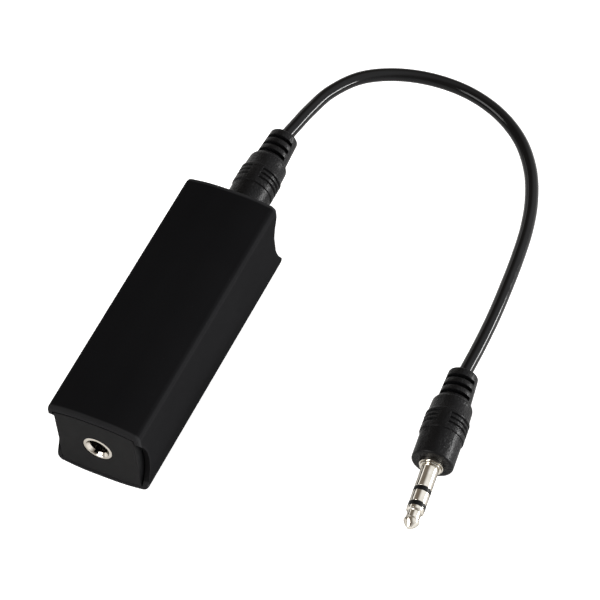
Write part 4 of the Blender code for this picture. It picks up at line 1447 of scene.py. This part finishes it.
# Studio
@dataclass(frozen=True)
class SoftBox:
    """One large soft light, which the camera itself doesn't see."""

    name: str
    aim: Point
    azimuth: float
    elevation: float
    distance: float
    size: Span
    strength: float

    def hang(self) -> None:
        """Hangs the light so that it faces its aim."""
        out = way_out(math.radians(self.azimuth), math.radians(self.elevation))
        data = bpy.data.lights.new(self.name, "AREA")
        data.shape = "RECTANGLE"
        data.size, data.size_y = self.size
        data.energy = self.strength
        lamp = bpy.data.objects.new(self.name, data)
        bpy.context.scene.collection.objects.link(lamp)
        lamp.location = Vector(self.aim) + out * self.distance
        lamp.rotation_euler = out.to_track_quat("Z", "Y").to_euler()
        lamp.visible_camera = False


@dataclass(frozen=True)
class Studio:
    """A white table top that runs out to white walls, under a grey ceiling and soft boxes."""

    table: float = 3.0
    table_middle: Point = (0.02, 0.02, -0.00005)
    table_white: str = "#f2f2f2"
    table_roughness: float = 0.9
    table_specular: float = 0.1
    lift: float = 0.7
    mirror_lift: float = 0.15
    wall: str = "#e6e6e6"
    wall_top: float = 5.0
    wall_fade: float = 18.0
    ceiling: str = "#857c72"
    bright_side: float = 1.2
    bright_way: Point = (0.75, 0.35, 0.56)
    bright_span: Span = (0.45, 0.85)
    boxes: tuple[SoftBox, ...] = (
        SoftBox("right_low_box", (0.03, 0.03, 0.0), 108.0, 5.0, 0.9, (0.8, 0.14), 18.0),
        SoftBox("front_box", (0.02, 0.02, 0.0), -32.0, 38.0, 1.0, (0.8, 0.45), 8.2),
        SoftBox("left_box", (0.02, 0.02, 0.0), -118.0, 19.0, 1.0, (0.8, 0.25), 0.9))

    def set_up(self) -> None:
        """Lays the table, hangs the lights and sets the walls and the ceiling."""
        clear_bench()
        bpy.ops.mesh.primitive_plane_add(size=self.table, location=self.table_middle)
        table = bpy.context.object
        table.name = "white_table"
        bpy.ops.object.transform_apply(location=True, rotation=True, scale=True)
        table.data.materials.append(self.table_material())
        for box in self.boxes:
            box.hang()
        self.surround()
        bpy.context.scene.view_settings.view_transform = "Standard"

    def surround(self) -> None:
        """White walls that fade into a grey ceiling, brighter on one side."""
        world = bpy.data.worlds.new("white_walls_grey_ceiling")
        bpy.context.scene.world = world
        world.use_nodes = True
        tree = world.node_tree
        way = add_node(tree, "TexCoord").outputs["Generated"]
        height = add_node(tree, "SeparateXYZ", {0: way}).outputs[2]
        towards = add_node(tree, "VectorMath", {0: way, 1: self.bright_way},
                           operation="DOT_PRODUCT").outputs["Value"]
        fade = (math.sin(math.radians(self.wall_fade)), math.sin(math.radians(self.wall_top)))
        bright = (self.bright_side, self.bright_side, self.bright_side, 1.0)
        coats = [(add_node(tree, "MapRange", {"Value": value, **limits(span)},
                           interpolation_type="SMOOTHSTEP").outputs[0], colour)
                 for value, span, colour in ((towards, self.bright_span, bright),
                                             (height, fade, linear(self.wall)))]
        colour = overlaid(tree, linear(self.ceiling), coats)
        tree.links.new(colour, tree.nodes["Background"].inputs["Color"])

    def table_material(self) -> Material:
        """White laminate, lifted to paper white for the camera and in reflections, so only shadow shows.

        Returns:
            The table's material.
        """
        material = bpy.data.materials.new("white_laminate_table")
        material.use_nodes = True
        tree = material.node_tree
        shader = tree.nodes["Principled BSDF"]
        seen = add_node(tree, "LightPath").outputs
        mirrored = add_node(tree, "Math", {0: seen["Is Glossy Ray"], 1: self.mirror_lift},
                            operation="MULTIPLY")
        lift = add_node(tree, "Math", {0: seen["Is Camera Ray"], 1: self.lift, 2: mirrored.outputs[0]},
                        operation="MULTIPLY_ADD")
        constants = {"Base Color": linear(self.table_white), "Roughness": self.table_roughness,
                     "Specular IOR Level": self.table_specular, "Emission Color": linear("#ffffff")}
        for name, value in constants.items():
            shader.inputs[name].default_value = value
        tree.links.new(lift.outputs[0], shader.inputs["Emission Strength"])
        return material


def main() -> None:
    """Builds the finished isolator in order and reports each piece."""
    logging.basicConfig(level=logging.INFO, format="%(name)s: %(message)s")
    PhotoCamera().set_up()
    lead = PatchLead()
    cord = lead.build()
    LOG.info("cord laid, %.1f mm long", lead.length() / MM)

    pvc, nickel, nylon, cap = BOOT_PVC.make(), NICKEL.make(), INSULATOR.make(), CAP_ABS.make()
    pattern = PlugPattern()
    pattern.build(pvc, nickel, nylon)
    rear = Plug("rear", (0.0, 0.0302, 0.010), 0.0).build(pattern)
    free = Plug("free", (0.05928, -0.00583, 0.00451), 7.6).build(pattern)
    pattern.discard()
    LOG.info("plugs modelled: %s", ", ".join(piece.name for piece in rear + free))
    lead.length()

    LOG.info("sleeve modelled: %s", CaseSleeve().build().name)
    LOG.info("ends closed: %s", ", ".join(piece.name for piece in CaseEnds().build(cap, nickel)))
    LOG.info("inner solids dressed: %d", InnerWorks().dress(frame["nodes"]))
    Studio().set_up()


if __name__ == "__main__":
    main()
